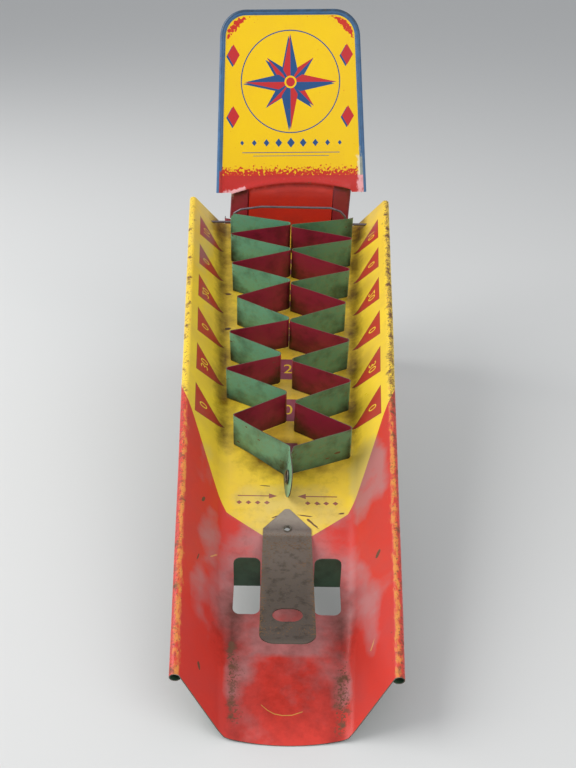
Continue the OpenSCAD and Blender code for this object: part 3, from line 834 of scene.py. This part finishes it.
def make_chute():
    """The tapered chute with its rolled hems, return stops and rear tabs."""
    tin = Tinwork()
    right = chute_outline()
    levels = [BEND_ARC * i / 8 for i in range(9)]
    levels += [BEND_ARC + WALL_SLANT * i / 4 for i in range(1, 5)]
    levels += [SLANT_END + HEM_ARC * i / 18 for i in range(1, 18)]
    folds = [
        [(side * x, y) for x, y in (flat_at(q, c) for q in range(-10, 440, 6))]
        for side in (1, -1)
        for c in levels
    ]
    dots = [
        ((LIP_HALF + y * tan(TAPER)) * i / 4, y)
        for y in (*range(4, 140, 4), *range(140, 420, 6))
        for i in range(-3, 4)
    ]
    window = tongue(STOP_U, STOP_V - STOP_LEN, STOP_V, 6)
    # The wire's holes are drawn out, since the wire goes through the slanting walls level.
    wire_c = BEND_ARC + (HINGE_W - BEND_R * (1 - cos(WALL_ANGLE))) / sin(WALL_ANGLE)
    wire_x, wire_y = flat_at(HINGE_V / cos(TAPER) + 0.6, wire_c)
    holes = [window, mirrored(window), disc(0, SPRING_V + RIVET_Y, RIVET_HOLE_R)]
    holes += [disc(x, wire_y, 1.2, 0.95) for x in (wire_x, -wire_x)]
    tin.blank(
        right + mirrored(right)[:-1],
        chute_bend,
        RED,
        holes=holes,
        prints=floor_prints() + pennant_prints(),
        folds=folds,
        dots=dots,
        wear=chute_wear,
    )
    # A stop is as long as its window and a little more, which the bend takes up.
    stop = tongue(0, TIGHT_R * (0.14 - STOP_TURN) - STOP_LEN, 0.6, 4)
    right = [(REAR_TAB_HALF, 0), (REAR_TAB_HALF, 13.2), (REAR_TAB_HALF - 0.9, 14)]
    tab = right + mirrored(right)
    for side in (1, -1):
        tin.blank(
            stop if side > 0 else mirrored(stop),
            stop_bend(side),
            RED,
            folds=creases(20, 0, -TIGHT_R * 0.285, 7),
            wear=lambda x, y: (0.1, 0.2, 0.2, 0),
        )
        bend = rear_tab_bend(REAR_TAB_U * side)
        tin.blank(tab, bend, YELLOW, folds=creases(20, 9.9, 0.4, 8))
    settle(tin.make("chute_sheet"), "root", "chute")


# A strip's folds in plan, half way through its sheet, from the lift tab to the rear.
STRIP_PLAN = (
    (0.25, 139), (0.25, 165), (34.34, 184), (0.68, 203), (36.43, 222), (0.15, 241),
    (38.53, 260), (-0.39, 279), (40.62, 298), (-0.93, 317), (42.72, 336), (-1.47, 355),
    (44.81, 374), (-3.44, 388), (43.84, 400), (43.84, 419.9),
)

# How far each fold of the old hand-bent strips strays from its even place: across and along, mm.
FOLD_STRAYS = {
    1: (
        (3.0, -6.6), (1.3, -4.0), (1.9, -4.0), (0.0, -4.4), (0.6, -3.6), (-1.2, -3.4),
        (-2.0, -2.8), (-0.3, -0.6), (0.2, -2.8), (0.6, 1.6), (3.2, -2.4), (-0.1, -0.4),
        (2.0, -1.2),
    ),
    -1: (
        (-1.8, 3.1), (-1.1, 3.8), (3.4, 5.4), (2.8, 0.6), (0.6, 3.2), (-1.7, -1.8),
        (-4.8, 2.0), (-1.8, 2.4), (-1.2, 2.4), (-2.2, 2.0), (0.4, 1.2), (-2.0, 2.2),
        (-0.9, 2.4),
    ),
}

# Chips of the lacquer on each strip: along it, up it, half length and half height.
STRIP_CHIPS = {
    1: (
        (52, 7.5, 2.0, 0.8), (60.5, 9, 0.8, 1.6), (46, 5.2, 1.3, 0.5), (137, 6, 1.0, 1.7),
        (139, 12, 0.7, 1.2),
    ),
    -1: ((43, 15, 0.9, 0.4), (58, 4.5, 1.2, 0.6), (52, 19.5, 0.7, 0.5)),
}


def make_strip(side, name, node, face):
    """A zigzag divider strip with its half of the lift tab and its lug round the wire.

    The left strip is bent the other way, so its flat sheet is drawn mirrored, and its face
    towards +X is the inner one.
    """
    plan = [list(p) for p in STRIP_PLAN]
    for corner, (across, along) in zip(plan[2:15], FOLD_STRAYS[side]):
        corner[0] += across
        corner[1] += along
    plan[15][0] = plan[14][0]
    # The lift tab hangs to one side, and both strips bend a little on their way from it.
    plan[0][0] += side * TAB_SWING
    plan[1] = [1.1 + side * 0.2, APEX_V]
    plan.insert(1, [0.25 - side * 0.5, 156.0])
    path = Path(plan, STRIP_FOLD_R, 8)
    total = path.lengths[-1]
    middle = STRIP_LOW + TAB_R

    def bend(s, w):
        s *= side
        point, heading = path.at(s)
        wave = 0.14 * sin(s / 9 + w / 7)
        wave *= smooth(40, 60, s) * smooth(total - 30, total - 45, s)
        out = Vector((heading.y, -heading.x)) * (STRIP_T / 2 * side + wave)
        lean = TAB_LEAN * (w - middle) * smooth(44, 26, s)
        return on_slope(side * (point.x + out.x) + lean, point.y + out.y, w)

    def wear(s, w):
        # The top edge and the folds are rubbed and rusty, and the strip is darker along its foot
        # and low in its folds.
        top = bell(w, STRIP_TOP, 1.1)
        near = min(abs(side * s - fold) for fold in path.lengths[1:-1])
        rub = 0.23 + 0.14 * top + 0.14 * bell(near, 0, 1.5) + 0.1 * bell(w, 0, 2)
        rust = 0.26 + 0.26 * top + 0.25 * bell(w, 0, 1.8) + 0.12 * bell(near, 0, 3)
        dirt_and_shade = 0.22 + 0.4 * bell(w, 0, 5) + 0.3 * bell(near, 0, 4) * smooth(12, 2, w)
        return rub, rust, dirt_and_shade, 0.0

    lug = total - (STRIP_PLAN[15][1] - HINGE_V)
    neck = total - (STRIP_PLAN[15][1] - LUG_NECK_V)
    outline = [
        *arc(TAB_R, middle, TAB_R, pi / 2, pi * 1.5, 18),
        (neck - 1, STRIP_LOW), (neck, STRIP_LOW), (neck + 6, HINGE_W - LUG_R),
        *arc(lug, HINGE_W, LUG_R, -pi / 2, pi / 2, 12),
        (neck + 6, HINGE_W + LUG_R), (neck, STRIP_TOP), (neck - 1, STRIP_TOP),
    ]
    folds = [[(s, 0), (s, 24)] for s in path.lengths[1:-1]]
    dots = [(8.0 * i, STRIP_LOW + 5.5 * j) for i in range(3, int(total / 8)) for j in range(5)]
    if side < 0:
        outline, dots = mirrored(outline), mirrored(dots)
        folds = [mirrored(fold) for fold in folds]
    tin = Tinwork()
    tin.blank(
        outline,
        bend,
        face,
        MAROON,
        STRIP_T,
        holes=[disc(side * TAB_R, middle, TAB_HOLE_R), disc(side * lug, HINGE_W, LUG_HOLE_R)],
        prints=[(disc(side * s, w, a, b, 12), SCAR) for s, w, a, b in STRIP_CHIPS[side]],
        folds=folds,
        dots=dots,
        wear=wear,
    )
    settle(tin.make(name), "divider_frame", node)


def stand_section(half):
    """The stand as seen from above, out to a half width, with its flanges bent back."""
    side = (half - CREASE_HALF) * tan(CREASE_ANGLE)
    right = [(CREASE_HALF, 0), (half, side), (half, side + 6)]
    return Path([*mirrored(right), *right], STAND_FOLD_R)


LEG, NECK = stand_section(LEG_HALF), stand_section(NECK_HALF)


def fold_line(x):
    """How far above the flat neck the fold to the sign runs: forced by hand, and bowed."""
    return 7.0 + 0.031 * x - 0.0033 * x * x


def stood(x, y, out, lean=SIGN_LEAN):
    """The place of a point y above the fold and out in front of the sheet, all a little askew."""
    askew = smooth(-22, 0, y)
    out += 0.9 * bell(y - fold_line(x), 1.0, 2.0) * smooth(48, 38, abs(x))
    height = y * cos(lean) + out * sin(lean)
    tilt = SIGN_TILT * askew
    return Vector((
        x * cos(tilt) - height * sin(tilt) + SIGN_SHIFT * askew,
        STAND_Y + y * sin(lean) - out * cos(lean),
        FOLD_Z + x * sin(tilt) + height * cos(tilt),
    ))


def stand_bend(x, z):
    """Where a flat point of the leg or neck goes, z above the table."""
    path = NECK if z > LEG_TOP + LEG_SLIT / 2 else LEG
    point, heading = path.at(x + path.half)
    # The path runs along the middle of the sheet, and its face is half a sheet in front.
    front = Vector((heading.y, -heading.x)) * SHEET / 2
    within = smooth(CREASE_HALF + 8, CREASE_HALF - 2, abs(point.x))
    lean = SIGN_LEAN * smooth(0, 2, z - FOLD_Z) * within
    return stood(point.x + front.x, z - FOLD_Z, -SHEET / 2 - point.y - front.y, lean)


def stand_wear(x, z):
    """The leg and neck are worn and rusty along the fold and darker just under it, with painted
    shade on the flanges, which turn from the light.
    """
    above = z - FOLD_Z - fold_line(x)
    fold = bell(above, 0, 1.6)
    rub = 0.08 + 0.75 * fold * smooth(-30, -38, x) + 0.45 * bell(x, 31, 2) * bell(above, -2, 3)
    rust = 0.16 + 0.7 * fold * max(bell(x, 14, 7), bell(x, 38, 9))
    # Painted shade on the flanges, and a dark line just under the fold.
    dirt_and_shade = 0.25 * smooth(CREASE_HALF - 1, CREASE_HALF + 1, abs(x)) + 0.8 * bell(above, -1.5, 1.6)
    return rub, rust, dirt_and_shade, 0.0


def foot_bend(x, y):
    """The foot under the leg, folded back on the table."""
    outer = TIGHT_R + SHEET
    down, back, _ = bent(-y, outer, pi / 2)
    return Vector((x, STAND_Y + back, outer - down))


def make_stand():
    """Sign, neck and rear leg, pressed from one sheet and folded."""
    tin = Tinwork()
    # A slit divides the flanges of the leg from those of the neck, as far in as the crease.
    crease_end = NECK.lengths[-9] - NECK.half
    slit_top = LEG_TOP + LEG_SLIT
    right = [(LEG.half, 1.3), (LEG.half, LEG_TOP), (crease_end, LEG_TOP)]
    right += [(crease_end, slit_top), (NECK.half, slit_top)]
    top = [(x, FOLD_Z + fold_line(x)) for x in range(44, -45, -4)]
    inner = CREASE_HALF + 4
    folds = [[(x, 0), (x, LEG_TOP)] for x in LEG.folds()]
    folds += [[(x, slit_top), (x, FOLD_Z + 2)] for x in NECK.folds() if abs(x) > inner]
    folds += [[(x, 0), (x, FOLD_Z + 2)] for x in LEG.folds() if abs(x) < inner]
    # The chute's rear tabs come through two slots.
    tabs, slot_half = (REAR_TAB_U, -REAR_TAB_U), REAR_TAB_HALF + PLAY
    slot_low = (STAND_FROM_LIP - SHEET * sin(SLOPE)) * tan(SLOPE) - TIGHT_R
    slot_high = (STAND_FROM_LIP + SHEET) * tan(SLOPE) + LIFT + PLAY
    dots = [(x, z) for x in range(-28, 29, 8) for z in range(6, 128, 8)]
    dots += [
        (x, FOLD_Z + fold_line(x) - drop) for x in range(-42, 43, 3) for drop in (1, 2.5, 4.5, 7)
    ]
    tin.blank(
        right + [(NECK.half, FOLD_Z)] + top + [(-NECK.half, FOLD_Z - 1.2)] + mirrored(right),
        stand_bend,
        NECK_RED,
        holes=[box(x - slot_half, slot_low, x + slot_half, slot_high) for x in tabs],
        # The flanges outside the creases are printed in a darker copy of the red: painted shade, as
        # they turn from the light.
        prints=[(box(side * CREASE_HALF, -5, side * 90, 160), SHADED_NECK_RED) for side in (1, -1)],
        folds=folds,
        dots=dots,
        wear=stand_wear,
    )
    half = CREASE_HALF - 2
    right = [(half - 2, -FOOT_LEN), (half, 1.5 - FOOT_LEN), (half, 0.0)]
    tin.blank(mirrored(right) + right, foot_bend, NECK_RED, folds=creases(40, 0, -0.34, 7))
    add_sign_face(tin)
    add_sign_hem(tin)
    settle(tin.make("sign_and_leg_sheet"), "root", "back_stand")


# The sign's face is a flat plate inside a hem that rolls back all round but for the fold. Its
# corners are round about these middles.
CORNER_Y = SIGN_H - SIGN_R
CORNER_X = SIGN_HALF - CORNER_Y * tan(SIGN_TAPER) - SIGN_R / cos(SIGN_TAPER)
INNER_R = SIGN_R - SIGN_HEM_R


def inset(x, y):
    """How far inside the hem a point of the sign's face is, and round which part of its edge."""
    dx, dy = abs(x) - CORNER_X, y - CORNER_Y
    turn = atan2(dy, dx)
    a = min(max(turn, SIGN_TAPER), pi / 2) if turn > -pi / 2 else SIGN_TAPER
    return INNER_R - dx * cos(a) - dy * sin(a), turn


def plate(x, y):
    """The sign's face lies a little behind the front of its hem, and is slightly dented."""
    deep, _ = inset(x, y)
    sunk = SIGN_HEM_R - sqrt(SIGN_HEM_R**2 - min(max(deep, 0.0), 1.75) ** 2)
    sunk *= max(smooth(3, 14, y), smooth(6, 2.5, deep))
    dent = -0.5 * bell(x, 48, 12) * bell(y, 40, 30)
    dent += 0.35 * sin(x / 21 + 1) * sin(y / 26)
    dent *= bell(x, 0, 48) * smooth(0, 20, y) * smooth(SIGN_H, SIGN_H - 20, y)
    return stood(x, y, dent - sunk)


def framed(deep):
    """The right half of the sign's outline, this far inside its hem."""
    low = SIGN_HALF - (SIGN_HEM_R + deep) / cos(SIGN_TAPER)
    levels = (-6, 0, 6, 10, 12, 14, 16, 18, 20, 22, 24, 40, 70, 85)
    side = [(low - y * tan(SIGN_TAPER), y) for y in levels]
    return side + arc(CORNER_X, CORNER_Y, INNER_R - deep, SIGN_TAPER, pi / 2, 12)


# Round the sign's upper corners the spray swells to a width in mm between two headings.
SPRAY_WIDE, SPRAY_FROM, SPRAY_TO = 8.5, -0.55, 2.1


def sign_wear(x, y):
    """The sign is sprayed red along the fold and round its upper corners, and rubbed below; a pale
    streak low on its right edge is a painted highlight.
    """
    deep, turn = inset(x, y)
    round_corner = min(max(0.0, (turn - SPRAY_FROM) / (SPRAY_TO - SPRAY_FROM)), 1.0)
    wide = SPRAY_WIDE * sin(pi * round_corner)
    spray = smooth(24, 12, y)
    if wide > 0.5:
        spray = max(spray, smooth(wide + 1.6, wide - 1.6, deep) * smooth(2.4, 3.2, deep))
    above = y - fold_line(x)
    # The pale streak low on the right edge, near x 51.5, is a painted highlight, the glare on the
    # edge's slight curl. The left corner and the fold are rubbed.
    rub = 0.06 + 1.2 * bell(x, 51.5, 3) * smooth(44, 20, y) + 0.5 * bell(x, -50, 3) * bell(y, 2, 4)
    rub += 1.1 * bell(above, 0.5, 1.8) * smooth(-30, -36, x)
    rub += 0.3 * bell(above, 2.6, 1.6) + 0.14 * bell(above, 5, 3)
    rust = 0.1 + 0.75 * bell(above, 0, 1.4) * max(bell(x, 14, 7), bell(x, 38, 9))
    return rub, rust, 0.3 * smooth(2.6, 1.4, deep), spray


# The star's middle above the fold.
STAR_Y = 79.0


def sign_prints():
    """A generic print: a compass star in a ring, four lozenges, diamonds and two rules."""
    made = [([(-60, -6), (60, -6)] + [(x, 12.5) for x in range(60, -61, -3)], SIGN_RED)]
    for radius, ink in ((36.2, BLUE), (35.4, SIGN_YELLOW)):
        made.append((disc(0, STAR_Y, radius, count=64), ink))
    # Four short rays under four long ones, each with a blue shadow and a blue half. Angles are
    # in eighths of a turn.
    for outer, spread, first in ((24.0, 0.5, 1), (33.5, 0.7, 0)):
        for shift, inks in ((-1.3, (BLUE, BLUE)), (0.0, (SIGN_RED, BLUE))):
            for k in range(first, 8, 2):
                for half, ink in zip((-1, 1), inks):
                    ray = [
                        (shift + r * sin(t), STAR_Y + shift + r * cos(t))
                        for r, t in (
                            (0.0, 0.0),
                            (outer, k * pi / 4),
                            (10.0, (k + half * spread) * pi / 4),
                        )
                    ]
                    made.append((ray, ink))
    made += [(disc(0, STAR_Y, 4.4), SIGN_YELLOW), (disc(0, STAR_Y, 3.2), SIGN_RED)]
    for side in (1, -1):
        for x, y in ((side * 42, 55), (side * 41, 98)):
            for shift, ink in ((-1.0, BLUE), (0.0, SIGN_RED)):
                made.append((disc(x + shift, y + shift, 4.4, 7.4, 4), ink))
    for i in range(-4, 5):
        size = 3.6 - 0.45 * abs(i)
        made.append((disc(i * 9.0, 36, size * 0.8, size, 4), BLUE))
    made += [(line((-36, 29), (36, 29), 0.5), BLUE), (line((-28, 26.6), (28, 26.6), 0.35), BLUE)]
    return made


def add_sign_face(tin):
    """The sign's face, with its prints."""
    right = framed(0.0)[1:]
    foot = [(x, fold_line(x)) for x in range(-44, 45, 4)]
    prints = []
    for deep, ink in ((0.6, HEM_BLUE), (1.2, HEM_BLUE), (1.75, HEM_BLUE), (2.0, SIGN_YELLOW)):
        ring = framed(deep)
        prints.append((ring + mirrored(ring), ink))
    # The dots are close where the spray fades: along the fold and at the upper corners.
    dots = [(x, y) for x in range(-50, 51, 5) for y in range(26, 124, 5)]
    dots += [(x, y) for x in range(-51, 52, 3) for y in (7, 9.5, 12, 14, 16, 18, 20, 22, 24)]
    dots += [(x, fold_line(x) + up) for x in range(-44, 45, 3) for up in (1.5, 3, 4.5)]
    dots += [
        (side * (29 + 1.7 * i), 92 + 1.7 * j)
        for side in (1, -1)
        for i in range(14)
        for j in range(21)
    ]
    tin.blank(
        right + mirrored(right) + [(-45.0, 0.0)] + foot + [(45.0, 0.0)],
        plate,
        HEM_BLUE,
        prints=prints + sign_prints(),
        dots=dots,
        wear=sign_wear,
    )


def add_sign_hem(tin):
    """The sign's hem, a ribbon up the right side, round both corners and down the left side."""
    angles = [SIGN_TAPER + (pi / 2 - SIGN_TAPER) * i / 12 for i in range(13)]
    corner = arc(CORNER_X, CORNER_Y, SIGN_R, SIGN_TAPER, pi / 2, 12)
    rim = [(Vector((SIGN_HALF, 0)), SIGN_TAPER), *((Vector(p), a) for p, a in zip(corner, angles))]
    rim += [(Vector((-p.x, p.y)), pi - a) for p, a in reversed(rim)]
    marks = measured([p for p, _ in rim])

    def hem_bend(c, s):
        i, t = stretch_at(marks, s)
        (p, first), (q, last) = rim[i], rim[i + 1]
        p = p.lerp(q, t)
        a = first + (last - first) * min(1.0, max(0.0, t))
        turn = pi / 2 - max(0.0, c) / SIGN_HEM_R
        out = SIGN_HEM_R * (cos(turn) - 1) + min(0.0, c)
        deep = SIGN_HEM_R * (sin(turn) - 1)
        return stood(p.x + out * cos(a), p.y + out * sin(a), deep)

    def hem_wear(c, s):
        top = smooth(marks[1] - 12, marks[1] + 12, s) * smooth(marks[-2] + 12, marks[-2] - 12, s)
        return 0.06 + 0.1 * bell(c, 3, 2) + 0.4 * top, 0.24 + 0.2 * top, 0.2 + 0.6 * top, 0.0

    hem_arc = SIGN_HEM_R * HEM_TURN
    folds = [[(hem_arc * i / 14, s) for s in marks] for i in range(1, 14)]
    folds += [[(-1, s), (20, s)] for s in marks[1:-1]]
    tin.blank(
        [(0, 0), *((hem_arc, s) for s in marks), *((0, s) for s in marks[:0:-1])],
        hem_bend,
        HEM_BLUE,
        folds=folds,
        wear=hem_wear,
    )


def make_spring():
    """The leaf spring: a pointed end riveted to the floor, a bend and a springy arm."""
    radius = 2 * SPRING_BEND_HALF / SPRING_RISE

    def bend(x, y):
        ahead, up, turn = bent(SPRING_BEND_HALF - y, radius, SPRING_RISE)
        # The arm is a little dished in front of the seat.
        up += 0.35 * bell(y, -83, 5) * cos(x / 4) * smooth(-60, -75, y)
        up += SPRING_T * cos(turn) + SPRING_T / 2 * (1 - cos(turn))
        return on_slope(x, SPRING_V + SPRING_BEND_HALF - ahead + SPRING_T / 2 * sin(turn), up)

    def wear(x, y):
        # Two rust blots lie half way up the arm, and more along its sides and at the seat.
        rust = 0.38 + 0.7 * bell(x, 7, 2.4) * bell(y, -29, 3)
        rust += 0.5 * bell(x, -8, 2) * bell(y, -22, 2.5) + 0.25 * bell(y, -10, 7)
        rust += 0.2 * bell(abs(x), SPRING_HALF, 1) + 0.2 * bell(y, -82, 4)
        rub = 0.2 + 0.75 * smooth(5, 10, y) + 0.3 * bell(y, 1, 3)
        rub += 0.25 * bell(y, -SPRING_LEN, 1.2)
        return rub, rust, 0.5 * smooth(-10, -60, y), 0.0

    corner = SPRING_HALF - SPRING_CORNER_R, SPRING_CORNER_R - SPRING_LEN
    tip = RIVET_Y + 14
    right = [
        (0, -SPRING_LEN), *arc(*corner, SPRING_CORNER_R, -pi / 2, 0, 10),
        (SPRING_HALF, RIVET_Y), (1.5, tip - 0.4), (0.8, tip), (0, tip),
    ]
    ends = SEAT_HALF - SEAT_R
    seat = disc(0, 0, SEAT_R, count=38, turn=0.01)
    tin = Tinwork()
    tin.blank(
        right + mirrored(right)[1:-1],
        bend,
        SPRING_STEEL,
        SPRING_STEEL,
        SPRING_T,
        holes=[
            [(x + copysign(ends, x), y + SEAT_Y) for x, y in seat],
            disc(0, RIVET_Y, SPRING_HOLE_R),
        ],
        folds=creases(20, SPRING_BEND_HALF, -0.25, 9),
        dots=[(x, y) for x in (-9, -4.5, 0, 4.5, 9) for y in range(-88, 15, 4)],
        wear=wear,
    )
    spring = tin.make("leaf_spring")
    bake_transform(spring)
    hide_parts("spring_root", "spring_arm")


def turned(name, rings, material, closed=False):
    """A round piece from rings of points, such as a wire along its bends or an eyelet round its
    bore."""
    count, last = len(rings[0]), len(rings) - 1
    faces = []
    for i in range(last + closed):
        j = (i + 1) % len(rings)
        for k in range(count):
            m = (k + 1) % count
            faces.append((i * count + k, i * count + m, j * count + m, j * count + k))
    if not closed:
        faces += [tuple(range(count))[::-1], tuple(range(last * count, (last + 1) * count))]
    points = [p for ring in rings for p in ring]
    wear = [(0.1, 0.25, 0.1, 0.0)] * len(points)
    made = metal_object(name, points, faces, points, wear, [material])
    made.data.polygons.foreach_set("use_smooth", [len(face) == 4 for face in faces])
    return made


def make_wire():
    """The hinge wire: hooked outside the walls, straight in the lugs, raised in the middle."""
    corners = (
        (-WIRE_END, 3), (-WIRE_END, 8), (-42.4, 8), (-40.4, 15.6), (-35.5, 18.8), (-20.3, 21.4),
        (30.2, 21.4), (37.5, 18.6), (41, 14.5), (42.4, 8), (WIRE_END, 8), (WIRE_END, 3),
    )
    rings = []
    for point, heading in Path(corners, WIRE_BEND_R, 5).points:
        side = Vector((-heading.y, heading.x))
        ring = [(point + side * across, along) for across, along in disc(0, 0, WIRE_R, count=12)]
        rings.append([on_slope(p.x, HINGE_V + along, p.y) for p, along in ring])
    settle(turned("hinge_wire_bent", rings, WIRE_STEEL), "root", "hinge_wire")


def make_eyelet(name, body, node, centre, axis, bore, grip):
    """A hollow rivet: a thin barrel whose ends are rolled over the sheets it grips."""
    inner, middle = bore / 2, (bore + RIM) / 2
    upper = arc(middle, grip / 2, RIM / 2, pi, 0, 8) + [(inner + BARREL, grip / 2 - 0.02)]
    lower = arc(middle, -grip / 2, RIM / 2, 0, -pi, 8) + [(inner + BARREL, 0.02 - grip / 2)]
    axis = Vector(axis).normalized()
    arm = axis.orthogonal().normalized()
    rings = []
    for i in range(40):
        a = 2 * pi * i / 40
        out = Matrix.Rotation(a, 3, axis) @ arm
        # The rolled ends are slightly uneven, with five swells.
        flare = 1 + 0.012 * sin(5 * a)
        rings.append([centre + out * r * flare + axis * z for r, z in upper + lower[::-1]])
    settle(turned(name, rings, EYELET_STEEL, closed=True), body, node)


make_chute()
make_stand()
make_strip(1, "right_strip", "right_divider", STAINED_GREEN)
make_strip(-1, "left_strip", "left_divider", GREEN)
make_spring()
make_wire()
make_eyelet(
    "lift_tab_ring",
    "divider_frame",
    "lift_tab_eyelet",
    on_slope(-0.1, TAB_V + TAB_R, STRIP_LOW + TAB_R),
    on_slope(10, 1, -10 * TAB_LEAN) - on_slope(0, 0, 0),
    TAB_BORE,
    0.9,
)
make_eyelet(
    "spring_rivet",
    "root",
    "spring_eyelet",
    on_slope(0, SPRING_V + RIVET_Y, 0.0),
    on_slope(0, 0, 1) - on_slope(0, 0, 0),
    SPRING_BORE,
    1.0,
)

# The photograph's camera: where it stands in mm, how it is turned in degrees, and how long its
# lens is, as 1000 pixels on a picture 768 pixels high.
EYE = (-6.4, -545.1, 326.8)
YAW, PITCH, ROLL = -0.66, 90 - 25.33, 1.284
SENSOR, FOCUS_PIXELS, PICTURE_PIXELS = 36, 1000, 768

camera_data = bpy.data.cameras.new("camera")
camera_data.sensor_width = SENSOR
camera_data.lens = FOCUS_PIXELS / PICTURE_PIXELS * SENSOR
camera = bpy.data.objects.new("camera", camera_data)
bpy.context.scene.collection.objects.link(camera)
camera.matrix_world = Matrix.Translation(Vector(EYE) * MM)
for angle, axis in ((YAW, "Z"), (PITCH, "X"), (ROLL, "Z")):
    camera.matrix_world = camera.matrix_world @ Matrix.Rotation(radians(angle), 4, axis)
bpy.context.scene.camera = camera

# A roll of matt paper under the toy, out to the horizon.
mesh = bpy.data.meshes.new("floor")
mesh.from_pydata([(x, y, 0) for x, y in box(-15, -15, 15, 15)], [], [(0, 1, 2, 3)])
floor = bpy.data.objects.new("floor", mesh)
bpy.context.scene.collection.objects.link(floor)
paper, _, _ = finish_of("studio_paper", Roughness=0.8, Base_Color=linear("#D8D8D6"))
mesh.materials.append(paper)

world = bpy.data.worlds.new("studio")
bpy.context.scene.world = world
world.use_nodes = True
sky = world.node_tree.nodes["Background"]
sky.inputs["Color"].default_value = linear("#F2F5FA")
sky.inputs["Strength"].default_value = 0.55
# Both lamps look at the middle of the toy. Places and sizes are in metres, powers in watts.
for name, place, size, power in (
    ("window", (-1.1, 0.02, 0.95), 1.2, 17),
    ("fill", (0.8, -0.95, 0.9), 1.4, 8),
):
    lamp = bpy.data.lights.new(name, "AREA")
    lamp.size, lamp.energy = size, power
    light = bpy.data.objects.new(name, lamp)
    light.location = place
    aim = Vector((0, 0, 0.08)) - light.location
    light.rotation_euler = aim.to_track_quat("-Z", "Y").to_euler()
    bpy.context.scene.collection.objects.link(light)
bpy.context.scene.view_settings.view_transform = "Standard"
